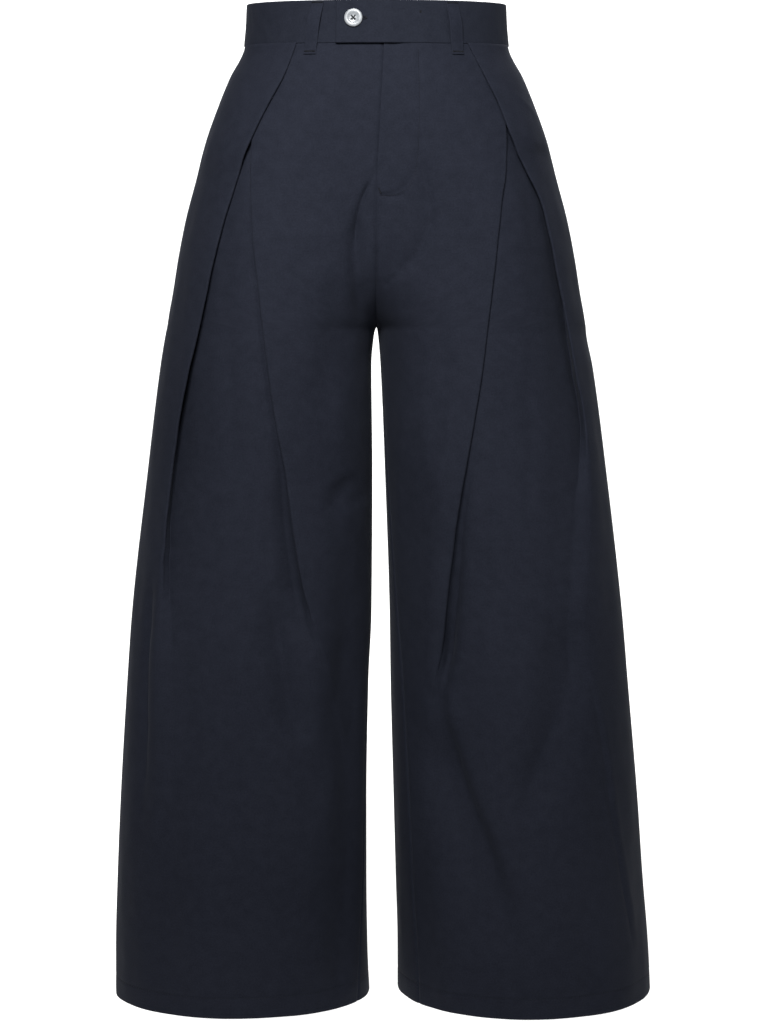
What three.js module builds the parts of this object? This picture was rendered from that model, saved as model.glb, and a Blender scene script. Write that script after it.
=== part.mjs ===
// Wide-leg trousers, hollow and filled out as worn, in millimetres.
// +Z is up, the front faces -Y, and the origin is the middle of the waist opening,
// half way up the waistband. Left and right are the wearer's own, so +X is the left.
import * as THREE from "three";

// Driving sizes
const BAND_HEIGHT = 42.6;
const BAND_WALL = 2.6;
const WAIST_TILT = 0.08; // the waist dips at the front and rises at the back, mm per mm
const TILT_END = -160; // height where the dip has died away
const CROTCH_Z = -305;
const RIGHT_HEM_Z = -982.5;
const LEFT_HEM_Z = -978;
const CLOTH = 1.2; // wall of one layer of cloth
const LAYER = 2.1; // pitch of layers that lie on each other in a pleat
const SEAM_GAP = 0.3; // pieces part by this much at a seam
const HEM_DEPTH = 20; // turned up inside
const HEM_PLY = 1.2; // what the turned-up cloth adds to the wall
const SIDE_SEAM = 92; // degrees round from the front of each leg's section
const SEAM_STEADY = 14; // troughs die away over this distance from the centre seam
const EDGE_STEP = 2; // degrees from a back's edges to the next of its points

const BUTTON_RADIUS = 9;
const BUTTON_THICK = 2.8;
const BUTTON_BEVEL = 0.7;
const BUTTON_X = -21.7;
const BUTTON_Z = -4.5;
const BUTTON_HOLE = 1;
const BUTTON_HOLE_SPREAD = 2.3; // of the four holes, from the middle

const TAB_END_X = -39; // the left half of the band reaches this far over the right
const UNDERLAP_X = 8; // and the right half this far under the left
const FLY_END_Z = -160;
const SHIELD_WIDTH = 40;
const SHIELD_REACH = 8; // of it behind the right front
const SHIELD_SLACK = 3.1; // it hangs this far behind the fronts, past the zip
const ZIP_END_Z = -148;
const ZIP_TAPE = 26; // width of both tapes
const ZIP_CHAIN = 5; // width of the closed teeth
const ZIP_RISE = 0.5; // of the teeth and the slider towards the shield
const ZIP_SLIDER = 10; // length of the slider, at the top

const LOOP_WIDTH = 12;
const LOOP_THICK = 1.6;
const LOOP_BOW = 2.6; // how far its middle stands off the band
const LOOP_BOW_END = 0.82; // the bow ends at this share of its length
const LOOP_DROP = 11; // its end hangs below the band's seam

// Numbers of points and steps that shape the walls
const CLEAR_APART = [4, 16]; // the side panel drops from its lift as the edges part, mm
const STEP_WIDTH = 16; // of a soft step where a fold has died away
const FINE_STEPS = 61; // steps that measure along the cloth
const BAND_FRONT = 18; // degrees: the band has closer points in front of here
const LAP_END = 16; // degrees: the tab has come down to the band here

const CLOTH_COLOUR = 0x2c3139;
const BAND_COLOUR = 0x2e333b;
const BUTTON_COLOUR = 0xb9bcc0;
const ZIP_COLOUR = 0x23272e;

// Sections down to the crotch. Each half is an ellipse about its own centre, which moves
// out from the middle of the waist to the middle of the thigh. inward is its half axis on
// the side of the body's middle: it ends where the ellipse meets the centre plane.
const HIPS = [
  { z: 22, outer: 130, centre: 0, inward: 130, front: 91.5, back: 88 },
  { z: -21, outer: 133, centre: 0, inward: 133, front: 93.5, back: 91 },
  { z: -55, outer: 149, centre: 18, inward: 250, front: 97, back: 98 },
  { z: -85, outer: 161, centre: 38, inward: 380, front: 99, back: 105 },
  { z: -118, outer: 172.5, centre: 60, inward: 420, front: 101, back: 111 },
  { z: -157, outer: 182.5, centre: 80, inward: 364, front: 104, back: 117 },
  { z: -197, outer: 193, centre: 96, inward: 282, front: 106, back: 121 },
  { z: -238, outer: 201, centre: 104, inward: 193, front: 108, back: 122 },
  { z: -270, outer: 206, centre: 106, inward: 143, front: 109, back: 121 },
  { z: -292, outer: 210, centre: 106.5, inward: 118.3, front: 109, back: 120 },
  { z: -305, outer: 212, centre: 106.5, inward: 106.5, front: 109, back: 119 },
];

// Sections of each leg below the crotch: its edges from the centre plane, its depths, and
// where the inseam runs, in degrees round from the front.
const LEGS = {
  right: [
    { z: -305, outer: 212, inner: 0.8, front: 109, back: 119, inseam: -90 },
    { z: -312, outer: 213.5, inner: 2.8, front: 109, back: 119, inseam: -90 },
    { z: -345, outer: 219, inner: 5.6, front: 109, back: 118, inseam: -90 },
    { z: -450, outer: 232, inner: 4.6, front: 108, back: 115, inseam: -90 },
    { z: -595, outer: 248.5, inner: 5.6, front: 108, back: 110, inseam: -86 },
    { z: -665, outer: 253.5, inner: 8.7, front: 108, back: 109, inseam: -84 },
    { z: -786, outer: 260.6, inner: 10.7, front: 109, back: 107, inseam: -80 },
    { z: -861, outer: 263.7, inner: 10.7, front: 110, back: 106, inseam: -77 },
    { z: -937, outer: 265.7, inner: 9.7, front: 111, back: 106, inseam: -70 },
    { z: -983, outer: 265.7, inner: 7.7, front: 112, back: 106, inseam: -66 },
  ],
  left: [
    { z: -305, outer: 212, inner: 0.8, front: 109, back: 119, inseam: -90 },
    { z: -312, outer: 212.5, inner: 1.8, front: 109, back: 119, inseam: -90 },
    { z: -345, outer: 219, inner: 4.6, front: 109, back: 117, inseam: -87 },
    { z: -450, outer: 233, inner: 9, front: 110, back: 113, inseam: -79 },
    { z: -595, outer: 249.5, inner: 13.8, front: 114, back: 106, inseam: -69 },
    { z: -665, outer: 255.5, inner: 14.8, front: 117, back: 103, inseam: -64 },
    { z: -786, outer: 265.7, inner: 17.9, front: 122, back: 98, inseam: -61 },
    { z: -861, outer: 270.8, inner: 19.9, front: 126, back: 96, inseam: -60 },
    { z: -937, outer: 276.9, inner: 21.9, front: 130, back: 94, inseam: -58 },
    { z: -983, outer: 279, inner: 21.9, front: 132, back: 94, inseam: -57 },
  ],
};

// The two edges of each front's inverted pleat. side: edge of the side panel, which lies on
// top and faces the centre. middle: edge of the middle panel, which faces out and comes from
// under the side panel where the two cross. The edges are distances from the centre plane,
// tuck and tuckMiddle the cloth folded back behind them, valley the depth of the underlay
// at the side edge, and crisp and crispMiddle go from 1, a folded edge, to 0, a soft step.
const PLEATS = {
  right: [
    { z: -21, side: 78, middle: 115, tuck: 57, tuckMiddle: 12, valley: 4.2, crisp: 1, crispMiddle: 1 },
    { z: -55, side: 90, middle: 117.5, tuck: 47, tuckMiddle: 12, valley: 4.2, crisp: 1, crispMiddle: 1 },
    { z: -85, side: 105, middle: 120, tuck: 36, tuckMiddle: 12, valley: 4.2, crisp: 1, crispMiddle: 1 },
    { z: -118, side: 120, middle: 122, tuck: 30, tuckMiddle: 12, valley: 4.2, crisp: 1, crispMiddle: 1 },
    { z: -151, side: 133.5, middle: 123, tuck: 28, tuckMiddle: 12, valley: 4.2, crisp: 1, crispMiddle: 1 },
    { z: -215, side: 154, middle: 120.5, tuck: 24, tuckMiddle: 12, valley: 6, crisp: 1, crispMiddle: 1 },
    { z: -260, side: 165, middle: 115.5, tuck: 22, tuckMiddle: 12, valley: 8, crisp: 1, crispMiddle: 1 },
    { z: -305, side: 175, middle: 110.5, tuck: 20, tuckMiddle: 12, valley: 10, crisp: 1, crispMiddle: 1 },
    { z: -350, side: 186, middle: 105, tuck: 17, tuckMiddle: 12, valley: 12, crisp: 1, crispMiddle: 1 },
    { z: -400, side: 197, middle: 97.5, tuck: 14, tuckMiddle: 10, valley: 14, crisp: 1, crispMiddle: 1 },
    { z: -450, side: 204, middle: 88, tuck: 11, tuckMiddle: 10, valley: 15, crisp: 1, crispMiddle: 1 },
    { z: -500, side: 208.5, middle: 81.5, tuck: 6, tuckMiddle: 7, valley: 15, crisp: 1, crispMiddle: 1 },
    { z: -555, side: 213.5, middle: 73, tuck: 1, tuckMiddle: 3, valley: 13, crisp: 0.7, crispMiddle: 1 },
    { z: -600, side: 216, middle: 62, tuck: 0.8, tuckMiddle: 0.8, valley: 10, crisp: 0.2, crispMiddle: 0.5 },
    { z: -645, side: 216, middle: 49.5, tuck: 0, tuckMiddle: 0, valley: 7, crisp: 0, crispMiddle: 0 },
    { z: -745, side: 213.5, middle: 24, tuck: 0, tuckMiddle: 0, valley: 4, crisp: 0, crispMiddle: 0 },
    { z: -820, side: 224, middle: 24, tuck: 0, tuckMiddle: 0, valley: 2, crisp: 0, crispMiddle: 0 },
    { z: -983, side: 240, middle: 50, tuck: 0, tuckMiddle: 0, valley: 0, crisp: 0, crispMiddle: 0 },
  ],
  left: [
    { z: -21, side: 90, middle: 118, tuck: 51, tuckMiddle: 12, valley: 4.2, crisp: 1, crispMiddle: 1 },
    { z: -55, side: 106, middle: 122.5, tuck: 40, tuckMiddle: 12, valley: 4.2, crisp: 1, crispMiddle: 1 },
    { z: -85, side: 119.5, middle: 126, tuck: 32, tuckMiddle: 12, valley: 4.2, crisp: 1, crispMiddle: 1 },
    { z: -118, side: 131.5, middle: 128, tuck: 28, tuckMiddle: 12, valley: 4.2, crisp: 1, crispMiddle: 1 },
    { z: -151, side: 148.5, middle: 127, tuck: 25, tuckMiddle: 12, valley: 4.2, crisp: 1, crispMiddle: 1 },
    { z: -184, side: 164, middle: 122.5, tuck: 22, tuckMiddle: 12, valley: 5, crisp: 1, crispMiddle: 1 },
    { z: -260, side: 181.5, middle: 114, tuck: 17, tuckMiddle: 12, valley: 7, crisp: 1, crispMiddle: 1 },
    { z: -305, side: 190.3, middle: 108.5, tuck: 14, tuckMiddle: 12, valley: 9, crisp: 1, crispMiddle: 1 },
    { z: -350, side: 198.3, middle: 103, tuck: 11, tuckMiddle: 12, valley: 10, crisp: 1, crispMiddle: 1 },
    { z: -400, side: 207.5, middle: 95, tuck: 4, tuckMiddle: 10, valley: 10, crisp: 1, crispMiddle: 1 },
    { z: -450, side: 210, middle: 86.5, tuck: 0.8, tuckMiddle: 9, valley: 9, crisp: 0.5, crispMiddle: 1 },
    { z: -500, side: 209.5, middle: 78.5, tuck: 0, tuckMiddle: 10, valley: 7, crisp: 0, crispMiddle: 1 },
    { z: -555, side: 205, middle: 71.5, tuck: 0, tuckMiddle: 7, valley: 6, crisp: 0, crispMiddle: 1 },
    { z: -600, side: 203, middle: 66, tuck: 0, tuckMiddle: 4, valley: 5, crisp: 0, crispMiddle: 1 },
    { z: -645, side: 209.5, middle: 59, tuck: 0, tuckMiddle: 0.8, valley: 4, crisp: 0, crispMiddle: 0.6 },
    { z: -700, side: 223.5, middle: 54, tuck: 0, tuckMiddle: 0, valley: 3, crisp: 0, crispMiddle: 0 },
    { z: -820, side: 238, middle: 50, tuck: 0, tuckMiddle: 0, valley: 2, crisp: 0, crispMiddle: 0 },
    { z: -983, side: 264, middle: 60, tuck: 0, tuckMiddle: 0, valley: 0, crisp: 0, crispMiddle: 0 },
  ],
};

// The fly's edge, from the centre plane towards the wearer's left
const FLY = [
  { z: 22, edge: 8 },
  { z: -30, edge: 7.2 },
  { z: -82, edge: 4.7 },
  { z: -140, edge: 1.8 },
  { z: -165, edge: 0 },
  { z: -983, edge: 0 },
];

// Soft troughs in the fronts: points are [from the centre plane, height]
const CREASES = {
  right: [
    { depth: 4, width: 11, path: [[10, -168], [17, -190], [19, -205], [17, -228], [13, -260], [5, -288]] },
    { depth: 5, width: 20, path: [[107, -446], [104, -500], [101, -552], [92, -620], [77, -689], [66, -725]] },
    { depth: 4, width: 17, path: [[40, -455], [30, -470], [22, -488]] },
  ],
  left: [
    { depth: 4, width: 15, path: [[44, -125], [47, -165], [53, -195], [48, -218], [38, -238], [12, -264]] },
    { depth: 6, width: 18, path: [[51, -655], [66, -710], [79, -753], [101, -797], [120, -860], [146, -873]] },
    { depth: 4, width: 20, path: [[189, -576], [187, -630], [182, -686], [160, -745], [136, -797]] },
  ],
};

// The same cloth pulls a few troughs into the backs, under the seat and behind the knees.
const BACK_CREASES = {
  right: [
    { depth: 5, width: 16, path: [[20, -300], [60, -318], [110, -322], [150, -312]] },
    { depth: 5, width: 22, path: [[150, -420], [142, -500], [128, -590], [120, -680]] },
    { depth: 4, width: 18, path: [[70, -560], [82, -640], [104, -720]] },
  ],
  left: [
    { depth: 5, width: 17, path: [[16, -308], [58, -326], [104, -331], [140, -322]] },
    { depth: 5, width: 21, path: [[160, -400], [149, -490], [131, -570], [118, -640]] },
    { depth: 4, width: 20, path: [[80, -620], [95, -700], [121, -770], [132, -830]] },
  ],
};

// Heights of the rows of points of every panel, between the waist seam and the hem
const ROWS = [-40, -60, -85, -102, -118, -134, -151, -180, -215, -250, -280, -305,
  -345, -400, -450, -500, -555, -600, -645, -700, -760, -850];

// Small helpers
const radians = THREE.MathUtils.degToRad;
const degrees = THREE.MathUtils.radToDeg;
const mix = THREE.MathUtils.lerp;
const ease = THREE.MathUtils.smoothstep;
const xSide = { right: -1, left: 1 };

// Slope of a column at one row of a table, flat where the column turns back
function slopeAt(table, name, i) {
  const rise = (k) => (table[k + 1][name] - table[k][name]) / (table[k + 1].z - table[k].z);
  if (i === 0) return rise(0);
  if (i === table.length - 1) return rise(i - 1);
  const [before, after] = [rise(i - 1), rise(i)];
  return before * after > 0 ? (2 * before * after) / (before + after) : 0;
}

// A table's column at height z, along a smooth curve with no overshoot between its rows
function at(table, name, z) {
  const last = table.length - 1;
  if (z >= table[0].z) return table[0][name];
  if (z <= table[last].z) return table[last][name];
  const i = table.findIndex((row) => row.z < z) - 1;
  const [a, b] = [table[i], table[i + 1]];
  const step = b.z - a.z;
  const t = (z - a.z) / step;
  const [t2, t3] = [t * t, t * t * t];
  return (
    a[name] * (2 * t3 - 3 * t2 + 1) +
    b[name] * (3 * t2 - 2 * t3) +
    slopeAt(table, name, i) * step * (t3 - 2 * t2 + t) +
    slopeAt(table, name, i + 1) * step * (t3 - t2)
  );
}

// The ellipse of one half of the garment at height z
function sectionAt(half, z) {
  if (z >= CROTCH_Z) {
    const centre = at(HIPS, "centre", z);
    const inward = at(HIPS, "inward", z);
    return {
      centre,
      inward,
      outward: at(HIPS, "outer", z) - centre,
      front: at(HIPS, "front", z),
      back: at(HIPS, "back", z),
      inseam: -degrees(Math.asin(Math.min(centre / inward, 1))),
    };
  }
  const table = LEGS[half];
  const [outer, inner] = [at(table, "outer", z), at(table, "inner", z)];
  return {
    centre: (outer + inner) / 2,
    inward: (outer - inner) / 2,
    outward: (outer - inner) / 2,
    front: at(table, "front", z),
    back: at(table, "back", z),
    inseam: at(table, "inseam", z),
  };
}

// Half axes of the section on the side where the angle points
function axes(section, angle) {
  return {
    across: Math.sin(angle) < 0 ? section.inward : section.outward,
    deep: Math.cos(angle) > 0 ? section.front : section.back,
  };
}

// A point of a section: angle in degrees round from the front, out from the ring by offset
function ringPoint(half, z, angle, offset) {
  const section = sectionAt(half, z);
  const turn = radians(angle);
  const { across, deep } = axes(section, turn);
  const normal = new THREE.Vector2(Math.sin(turn) / across, -Math.cos(turn) / deep).normalize();
  const out = section.centre + across * Math.sin(turn) + normal.x * offset;
  const y = -deep * Math.cos(turn) + normal.y * offset;
  const tilt = WAIST_TILT * ease(z, TILT_END, 0);
  return new THREE.Vector3(xSide[half] * out, y, z + tilt * y);
}

// Angle on the front where the ring is a given distance from the centre plane
function angleAt(half, z, out) {
  const section = sectionAt(half, z);
  const across = out < section.centre ? section.inward : section.outward;
  return degrees(Math.asin(THREE.MathUtils.clamp((out - section.centre) / across, -1, 1)));
}

// Degrees that one millimetre of cloth takes up round the ring
function degreesPerMm(half, z, angle) {
  const turn = radians(angle);
  const { across, deep } = axes(sectionAt(half, z), turn);
  return degrees(1 / Math.hypot(across * Math.cos(turn), deep * Math.sin(turn)));
}

// Distance in the plane of x and z from a point to a path of points
function distanceTo(path, out, z) {
  let nearest = Infinity;
  for (let i = 0; i + 1 < path.length; i++) {
    const [[ax, az], [bx, bz]] = [path[i], path[i + 1]];
    const along = ((out - ax) * (bx - ax) + (z - az) * (bz - az)) / ((bx - ax) ** 2 + (bz - az) ** 2);
    const t = THREE.MathUtils.clamp(along, 0, 1);
    nearest = Math.min(nearest, Math.hypot(out - mix(ax, bx, t), z - mix(az, bz, t)));
  }
  return nearest;
}

// How far the troughs of a list sink a point of the wall
function sink(creases, out, z) {
  return creases.reduce(
    (sum, crease) => sum - crease.depth * Math.exp(-((distanceTo(crease.path, out, z) / crease.width) ** 2)),
    0,
  );
}

// Equal steps from a to b, both ends counted
function steps(a, b, count) {
  return Array.from({ length: count }, (_, i) => mix(a, b, i / (count - 1)));
}

// Angles from one to another, both ends counted, evenly spaced along the cloth
function evenly(half, z, from, to, count) {
  const fine = steps(from, to, FINE_STEPS);
  const lengths = [0];
  for (let i = 1; i < fine.length; i++) {
    const middle = (fine[i] + fine[i - 1]) / 2;
    lengths.push(lengths[i - 1] + (fine[i] - fine[i - 1]) / degreesPerMm(half, z, middle));
  }
  return steps(0, lengths[fine.length - 1], count).map((length, k) => {
    if (k === count - 1) return to;
    const i = Math.max(lengths.findIndex((reached) => reached > length), 1);
    return mix(fine[i - 1], fine[i], (length - lengths[i - 1]) / (lengths[i] - lengths[i - 1]));
  });
}

// Wall round a grid of points: outer and inner skins a layer apart, closed by a rim.
// inside(row) is how far the inner skin lies in from the grid, and flip turns the faces.
function wall(grid, outside, inside, flip) {
  const [rows, columns] = [grid.length, grid[0].length];
  const point = (i, j) =>
    grid[THREE.MathUtils.clamp(i, 0, rows - 1)][THREE.MathUtils.clamp(j, 0, columns - 1)];
  const skins = [[], []];
  for (let i = 0; i < rows; i++)
    for (let j = 0; j < columns; j++) {
      const across = point(i, j + 1).clone().sub(point(i, j - 1));
      const down = point(i + 1, j).clone().sub(point(i - 1, j));
      const normal = down.cross(across).normalize().multiplyScalar(flip ? -1 : 1);
      skins[0].push(point(i, j).clone().addScaledVector(normal, outside));
      skins[1].push(point(i, j).clone().addScaledVector(normal, -inside(i)));
    }
  const outer = (i, j) => i * columns + j;
  const inner = (i, j) => rows * columns + outer(i, j);
  const faces = [];
  const quad = (a, b, c, d) =>
    flip ? faces.push(a, c, b, a, d, c) : faces.push(a, b, c, a, c, d);
  for (let i = 0; i + 1 < rows; i++)
    for (let j = 0; j + 1 < columns; j++) {
      const ring = [[i, j], [i + 1, j], [i + 1, j + 1], [i, j + 1]];
      // Layers that run back towards the middle are split the same way as those over them
      if (Math.abs(point(i, j + 1).x) < Math.abs(point(i, j).x)) ring.unshift(ring.pop());
      const [a, b, c, d] = ring;
      quad(outer(...a), outer(...b), outer(...c), outer(...d));
      quad(inner(...a), inner(...d), inner(...c), inner(...b));
    }
  const rim = [];
  for (let j = 0; j < columns; j++) rim.push([0, j]);
  for (let i = 1; i < rows; i++) rim.push([i, columns - 1]);
  for (let j = columns - 2; j >= 0; j--) rim.push([rows - 1, j]);
  for (let i = rows - 2; i > 0; i--) rim.push([i, 0]);
  rim.forEach((p, k) => {
    const q = rim[(k + 1) % rim.length];
    quad(outer(...p), outer(...q), inner(...q), inner(...p));
  });
  const geometry = new THREE.BufferGeometry();
  geometry.setFromPoints(skins.flat());
  geometry.setIndex(faces);
  return geometry;
}

// Half turn of the cloth between two layers: from angle, offset by high, round to low.
// way is 1 where the fold's edge points away from the centre front, -1 where towards it.
function foldTurn(edge, high, low, way, perMm) {
  const radius = Math.abs(high - low) / 2;
  return [45, 90, 135].map((degree) => {
    const swing = radians(degree);
    return {
      angle: edge + way * radius * (Math.sin(swing) - 1) * perMm,
      offset: (high + low) / 2 + Math.cos(swing) * (high - low) * 0.5,
    };
  });
}

// Stations across one front at height z, from the centre seam to the side seam. Each has an
// angle round the ring and an offset from it. The cloth runs out to the middle edge, back
// under it, out again as the underlay, back under the side panel and out along that.
function frontStations(half, z) {
  const pleat = (name) => at(PLEATS[half], name, z);
  const [middle, side] = [angleAt(half, z, pleat("middle")), angleAt(half, z, pleat("side"))];
  const perMiddle = degreesPerMm(half, z, middle);
  const perSide = degreesPerMm(half, z, side);
  const apart = (side - middle) / perSide;
  const lift = 2 * LAYER * (1 - ease(apart, ...CLEAR_APART));
  const valley = pleat("valley");
  const floor = Math.min(2 * LAYER, valley);
  const radius = LAYER / 2;
  const middleBack = middle - (pleat("tuckMiddle") + 2 * radius) * perMiddle;
  const sideBack = side + (pleat("tuck") + 2 * radius) * perSide;
  const seamSide = SIDE_SEAM - (SEAM_GAP / 2) * degreesPerMm(half, z, SIDE_SEAM);
  const start = frontEdge(half, z);

  // Folded shape
  const under = -2 * LAYER;
  const bottom = -valley;
  const tucked = steps(middle - radius * perMiddle, middleBack + radius * perMiddle, 3);
  const middlePanel = [...evenly(half, z, start, middleBack, 7), ...tucked.toReversed()].map((angle) => ({
    angle,
    offset: 0,
  }));
  const middleReturn = tucked.map((angle) => ({ angle, offset: -LAYER }));
  const underlay = [
    ...tucked.toReversed(),
    ...steps(middle - radius * perMiddle, sideBack - radius * perSide, 9).slice(1),
  ].map((angle) => ({
    angle,
    offset: mix(under, bottom, ease(angle, middle, Math.max(side, middle + 1))),
  }));
  const back = underlay[underlay.length - 1].offset;
  const sideTop = (angle) => lift * (1 - ease(angle, sideBack, SIDE_SEAM - 4));
  const returnEnd = mix(back + LAYER, lift - LAYER, lift / (2 * LAYER));
  const returnAt = (t) => mix(lift - LAYER, returnEnd, t);
  const sideReturn = steps(sideBack - radius * perSide, side + radius * perSide, 5).map(
    (angle, i) => ({ angle, offset: returnAt(1 - i / 4) }),
  );
  const sidePanel = [
    ...steps(side + radius * perSide, sideBack - radius * perSide, 4),
    ...steps(sideBack - radius * perSide, seamSide, 5).slice(1),
  ].map((angle) => ({ angle, offset: sideTop(angle) }));
  const folded = [
    ...middlePanel,
    ...foldTurn(middle, 0, -LAYER, 1, perMiddle),
    ...middleReturn,
    ...foldTurn(middleBack, -LAYER, under, -1, perMiddle),
    ...underlay,
    ...foldTurn(sideBack, back, returnAt(1), 1, perSide),
    ...sideReturn,
    ...foldTurn(side, lift - LAYER, lift, -1, perSide),
    ...sidePanel,
  ];

  // Soft shape with the same stations spread over two steps
  const middleFrom = middle - 0.5 * STEP_WIDTH * perMiddle;
  const middleTo = middle + 0.5 * STEP_WIDTH * perMiddle;
  const sideFrom = side - STEP_WIDTH * perSide;
  const sideTo = side + 0.4 * STEP_WIDTH * perSide;
  const shallow = -0.45 * floor * ease(valley, 0, 4);
  const soft = [
    ...evenly(half, z, start, middleFrom, 10).map((angle) => ({ angle, offset: 0 })),
    ...steps(middleFrom, middleTo, 12).slice(1).map((angle) => ({
      angle,
      offset: mix(0, shallow, ease(angle, middleFrom, middleTo)),
    })),
    ...steps(middleTo, sideFrom, 10).slice(1).map((angle) => ({
      angle,
      offset: mix(shallow, -valley, ease(angle, middleTo, sideFrom)),
    })),
    ...steps(sideFrom, sideTo, 12).slice(1).map((angle) => ({
      angle,
      offset: mix(-valley, 0, ease(angle, sideFrom, sideTo)),
    })),
    ...steps(sideTo, seamSide, 9).slice(1).map((angle) => ({ angle, offset: 0 })),
  ];
  const split = 10 + 9 + 6; // stations up to the middle of the underlay
  return folded.map((station, i) => {
    const crisp = i < split ? pleat("crispMiddle") : pleat("crisp");
    return {
      angle: mix(soft[i].angle, station.angle, crisp),
      offset: mix(soft[i].offset, station.offset, crisp),
    };
  });
}

// How far a wall's middle keeps from a seam in the centre plane, which it meets at a slant
function centreGap(half, z, angle) {
  return SEAM_GAP / 2 + (CLOTH / 2) * Math.abs(Math.sin(radians(angle)));
}

// Where a front starts: at the fly's edge or centre seam above the crotch, else the inseam
function frontEdge(half, z) {
  const { inseam } = sectionAt(half, z);
  if (z < CROTCH_Z) return inseam + (SEAM_GAP / 2) * degreesPerMm(half, z, inseam);
  return angleAt(half, z, xSide[half] * at(FLY, "edge", z) + centreGap(half, z, inseam));
}

// Where a back ends: at the centre seam above the crotch, else the inseam
function backEdge(half, z) {
  const { inseam } = sectionAt(half, z);
  if (z < CROTCH_Z) return 360 + inseam - (SEAM_GAP / 2) * degreesPerMm(half, z, inseam);
  return 180 - angleAt(half, z, centreGap(half, z, inseam));
}

// All heights of a panel, from under the band's seam down to the hem
function rowHeights(half) {
  const hem = half === "right" ? RIGHT_HEM_Z : LEFT_HEM_Z;
  const top = -BAND_HEIGHT / 2 - SEAM_GAP - CLOTH / 2;
  return [top, ...ROWS, hem + HEM_DEPTH + 2, hem + HEM_DEPTH, hem];
}

function panelWall(grid, half) {
  const hemRow = grid.length - 2;
  const inside = (i) => CLOTH / 2 + (i >= hemRow ? HEM_PLY : 0);
  return wall(grid, CLOTH / 2, inside, half === "right");
}

function frontGeometry(half) {
  const grid = rowHeights(half).map((z) =>
    frontStations(half, z).map(({ angle, offset }) => {
      const out = ringPoint(half, z, angle, 0).x * xSide[half];
      const dent = sink(CREASES[half], out, z) * ease(out, 0, SEAM_STEADY);
      return ringPoint(half, z, angle, offset + dent);
    }),
  );
  return panelWall(grid, half);
}

function backGeometry(half) {
  const grid = rowHeights(half).map((z) => {
    const from = SIDE_SEAM + (SEAM_GAP / 2) * degreesPerMm(half, z, SIDE_SEAM);
    const to = backEdge(half, z);
    return [from, ...evenly(half, z, from + EDGE_STEP, to - EDGE_STEP, 14), to].map((angle) => {
      const out = ringPoint(half, z, angle, 0).x * xSide[half];
      const steady = ease(out, 0, SEAM_STEADY) * ease(-Math.cos(radians(angle)), 0, 0.5);
      const dent = sink(BACK_CREASES[half], out, z) * steady;
      return ringPoint(half, z, angle, dent);
    });
  });
  return panelWall(grid, half);
}

// A point on the waistband's middle surface: height from -1 at its seam to 1 at its top
function bandPoint(half, angle, height, offset) {
  return ringPoint(half, (height * BAND_HEIGHT) / 2, angle, offset);
}

// Half of the waistband, from the centre back to the front. The left half rises to lie on
// the right one where they overlap.
function bandGeometry(half) {
  const over = BAND_WALL + SEAM_GAP;
  const endX = half === "left" ? TAB_END_X + SEAM_GAP : UNDERLAP_X;
  const end = angleAt(half, 0, xSide[half] * endX);
  const backSeam = 180 - (SEAM_GAP / 2) * degreesPerMm(half, 0, 180);
  const overlap = angleAt(half, 0, UNDERLAP_X + 1);
  const angles = [...steps(end, BAND_FRONT, 7), ...steps(BAND_FRONT, backSeam, 18).slice(1)];
  const grid = [1, 0, -1].map((height) =>
    angles.map((angle) => {
      const rise = half === "left" ? over * (1 - ease(angle, overlap, LAP_END)) : 0;
      return bandPoint(half, angle, height, rise);
    }),
  );
  return wall(grid, BAND_WALL / 2, () => BAND_WALL / 2, half === "right");
}

// A belt loop: a strip down over the band and onto the panel below, bowed in its middle.
// It leans from a distance top to a distance bottom from the centre plane.
function loopGeometry({ half, top, bottom, behind }) {
  const seat = BAND_WALL / 2 + SEAM_GAP + LOOP_THICK / 2;
  const grid = steps(0, 1, 11).map((t) => {
    const z = BAND_HEIGHT / 2 - t * (BAND_HEIGHT + LOOP_DROP);
    const bow = LOOP_BOW * Math.sin(Math.PI * Math.min(t / LOOP_BOW_END, 1)) ** 2;
    return steps(-LOOP_WIDTH / 2, LOOP_WIDTH / 2, 3).map((across) => {
      const front = angleAt(half, z, mix(top, bottom, t) + across);
      const angle = behind ? 180 - front : front;
      return ringPoint(half, z, angle, seat + bow);
    });
  });
  return wall(grid, LOOP_THICK / 2, () => LOOP_THICK / 2, (half === "right") !== behind);
}

// The strip behind the fly, which the right front carries
function shieldGeometry() {
  const inset = -(CLOTH + SHIELD_SLACK);
  const start = -BAND_HEIGHT / 2 - 2 * SEAM_GAP - CLOTH;
  const grid = steps(start, FLY_END_Z, 9).map((z) =>
    steps(-SHIELD_REACH, SHIELD_WIDTH - SHIELD_REACH, 6).map((x) => {
      const dents = sink(CREASES.left, x, z) + sink(CREASES.right, -x, z);
      return ringPoint("left", z, angleAt("left", z, x), inset + dents);
    }),
  );
  return wall(grid, CLOTH / 2, () => CLOTH / 2, false);
}

// The closed zip between the fronts and the shield: two tapes and, between them, the teeth,
// with the slider at the top
function zipGeometry() {
  const inset = -(CLOTH + 2 * SEAM_GAP);
  const half = ZIP_TAPE / 2;
  const chain = ZIP_CHAIN / 2;
  const columns = [-half, -chain - 1, -chain, chain, chain + 1, half];
  const top = -BAND_HEIGHT / 2 - 2 * SEAM_GAP - CLOTH;
  const rows = [top, top - ZIP_SLIDER, ...steps(top - ZIP_SLIDER - 1, ZIP_END_Z, 8)];
  const grid = rows.map((z, i) =>
    columns.map((across) => {
      const x = across + at(FLY, "edge", z);
      const teeth = Math.abs(across) <= chain ? ZIP_RISE : 0;
      const slider = i < 2 && teeth ? ZIP_RISE / 2 : 0;
      const dents = sink(CREASES.left, x, z) + sink(CREASES.right, -x, z);
      return ringPoint("left", z, angleAt("left", z, x), inset + dents - teeth - slider);
    }),
  );
  return wall(grid, CLOTH / 2, () => CLOTH / 2, false);
}

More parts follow.
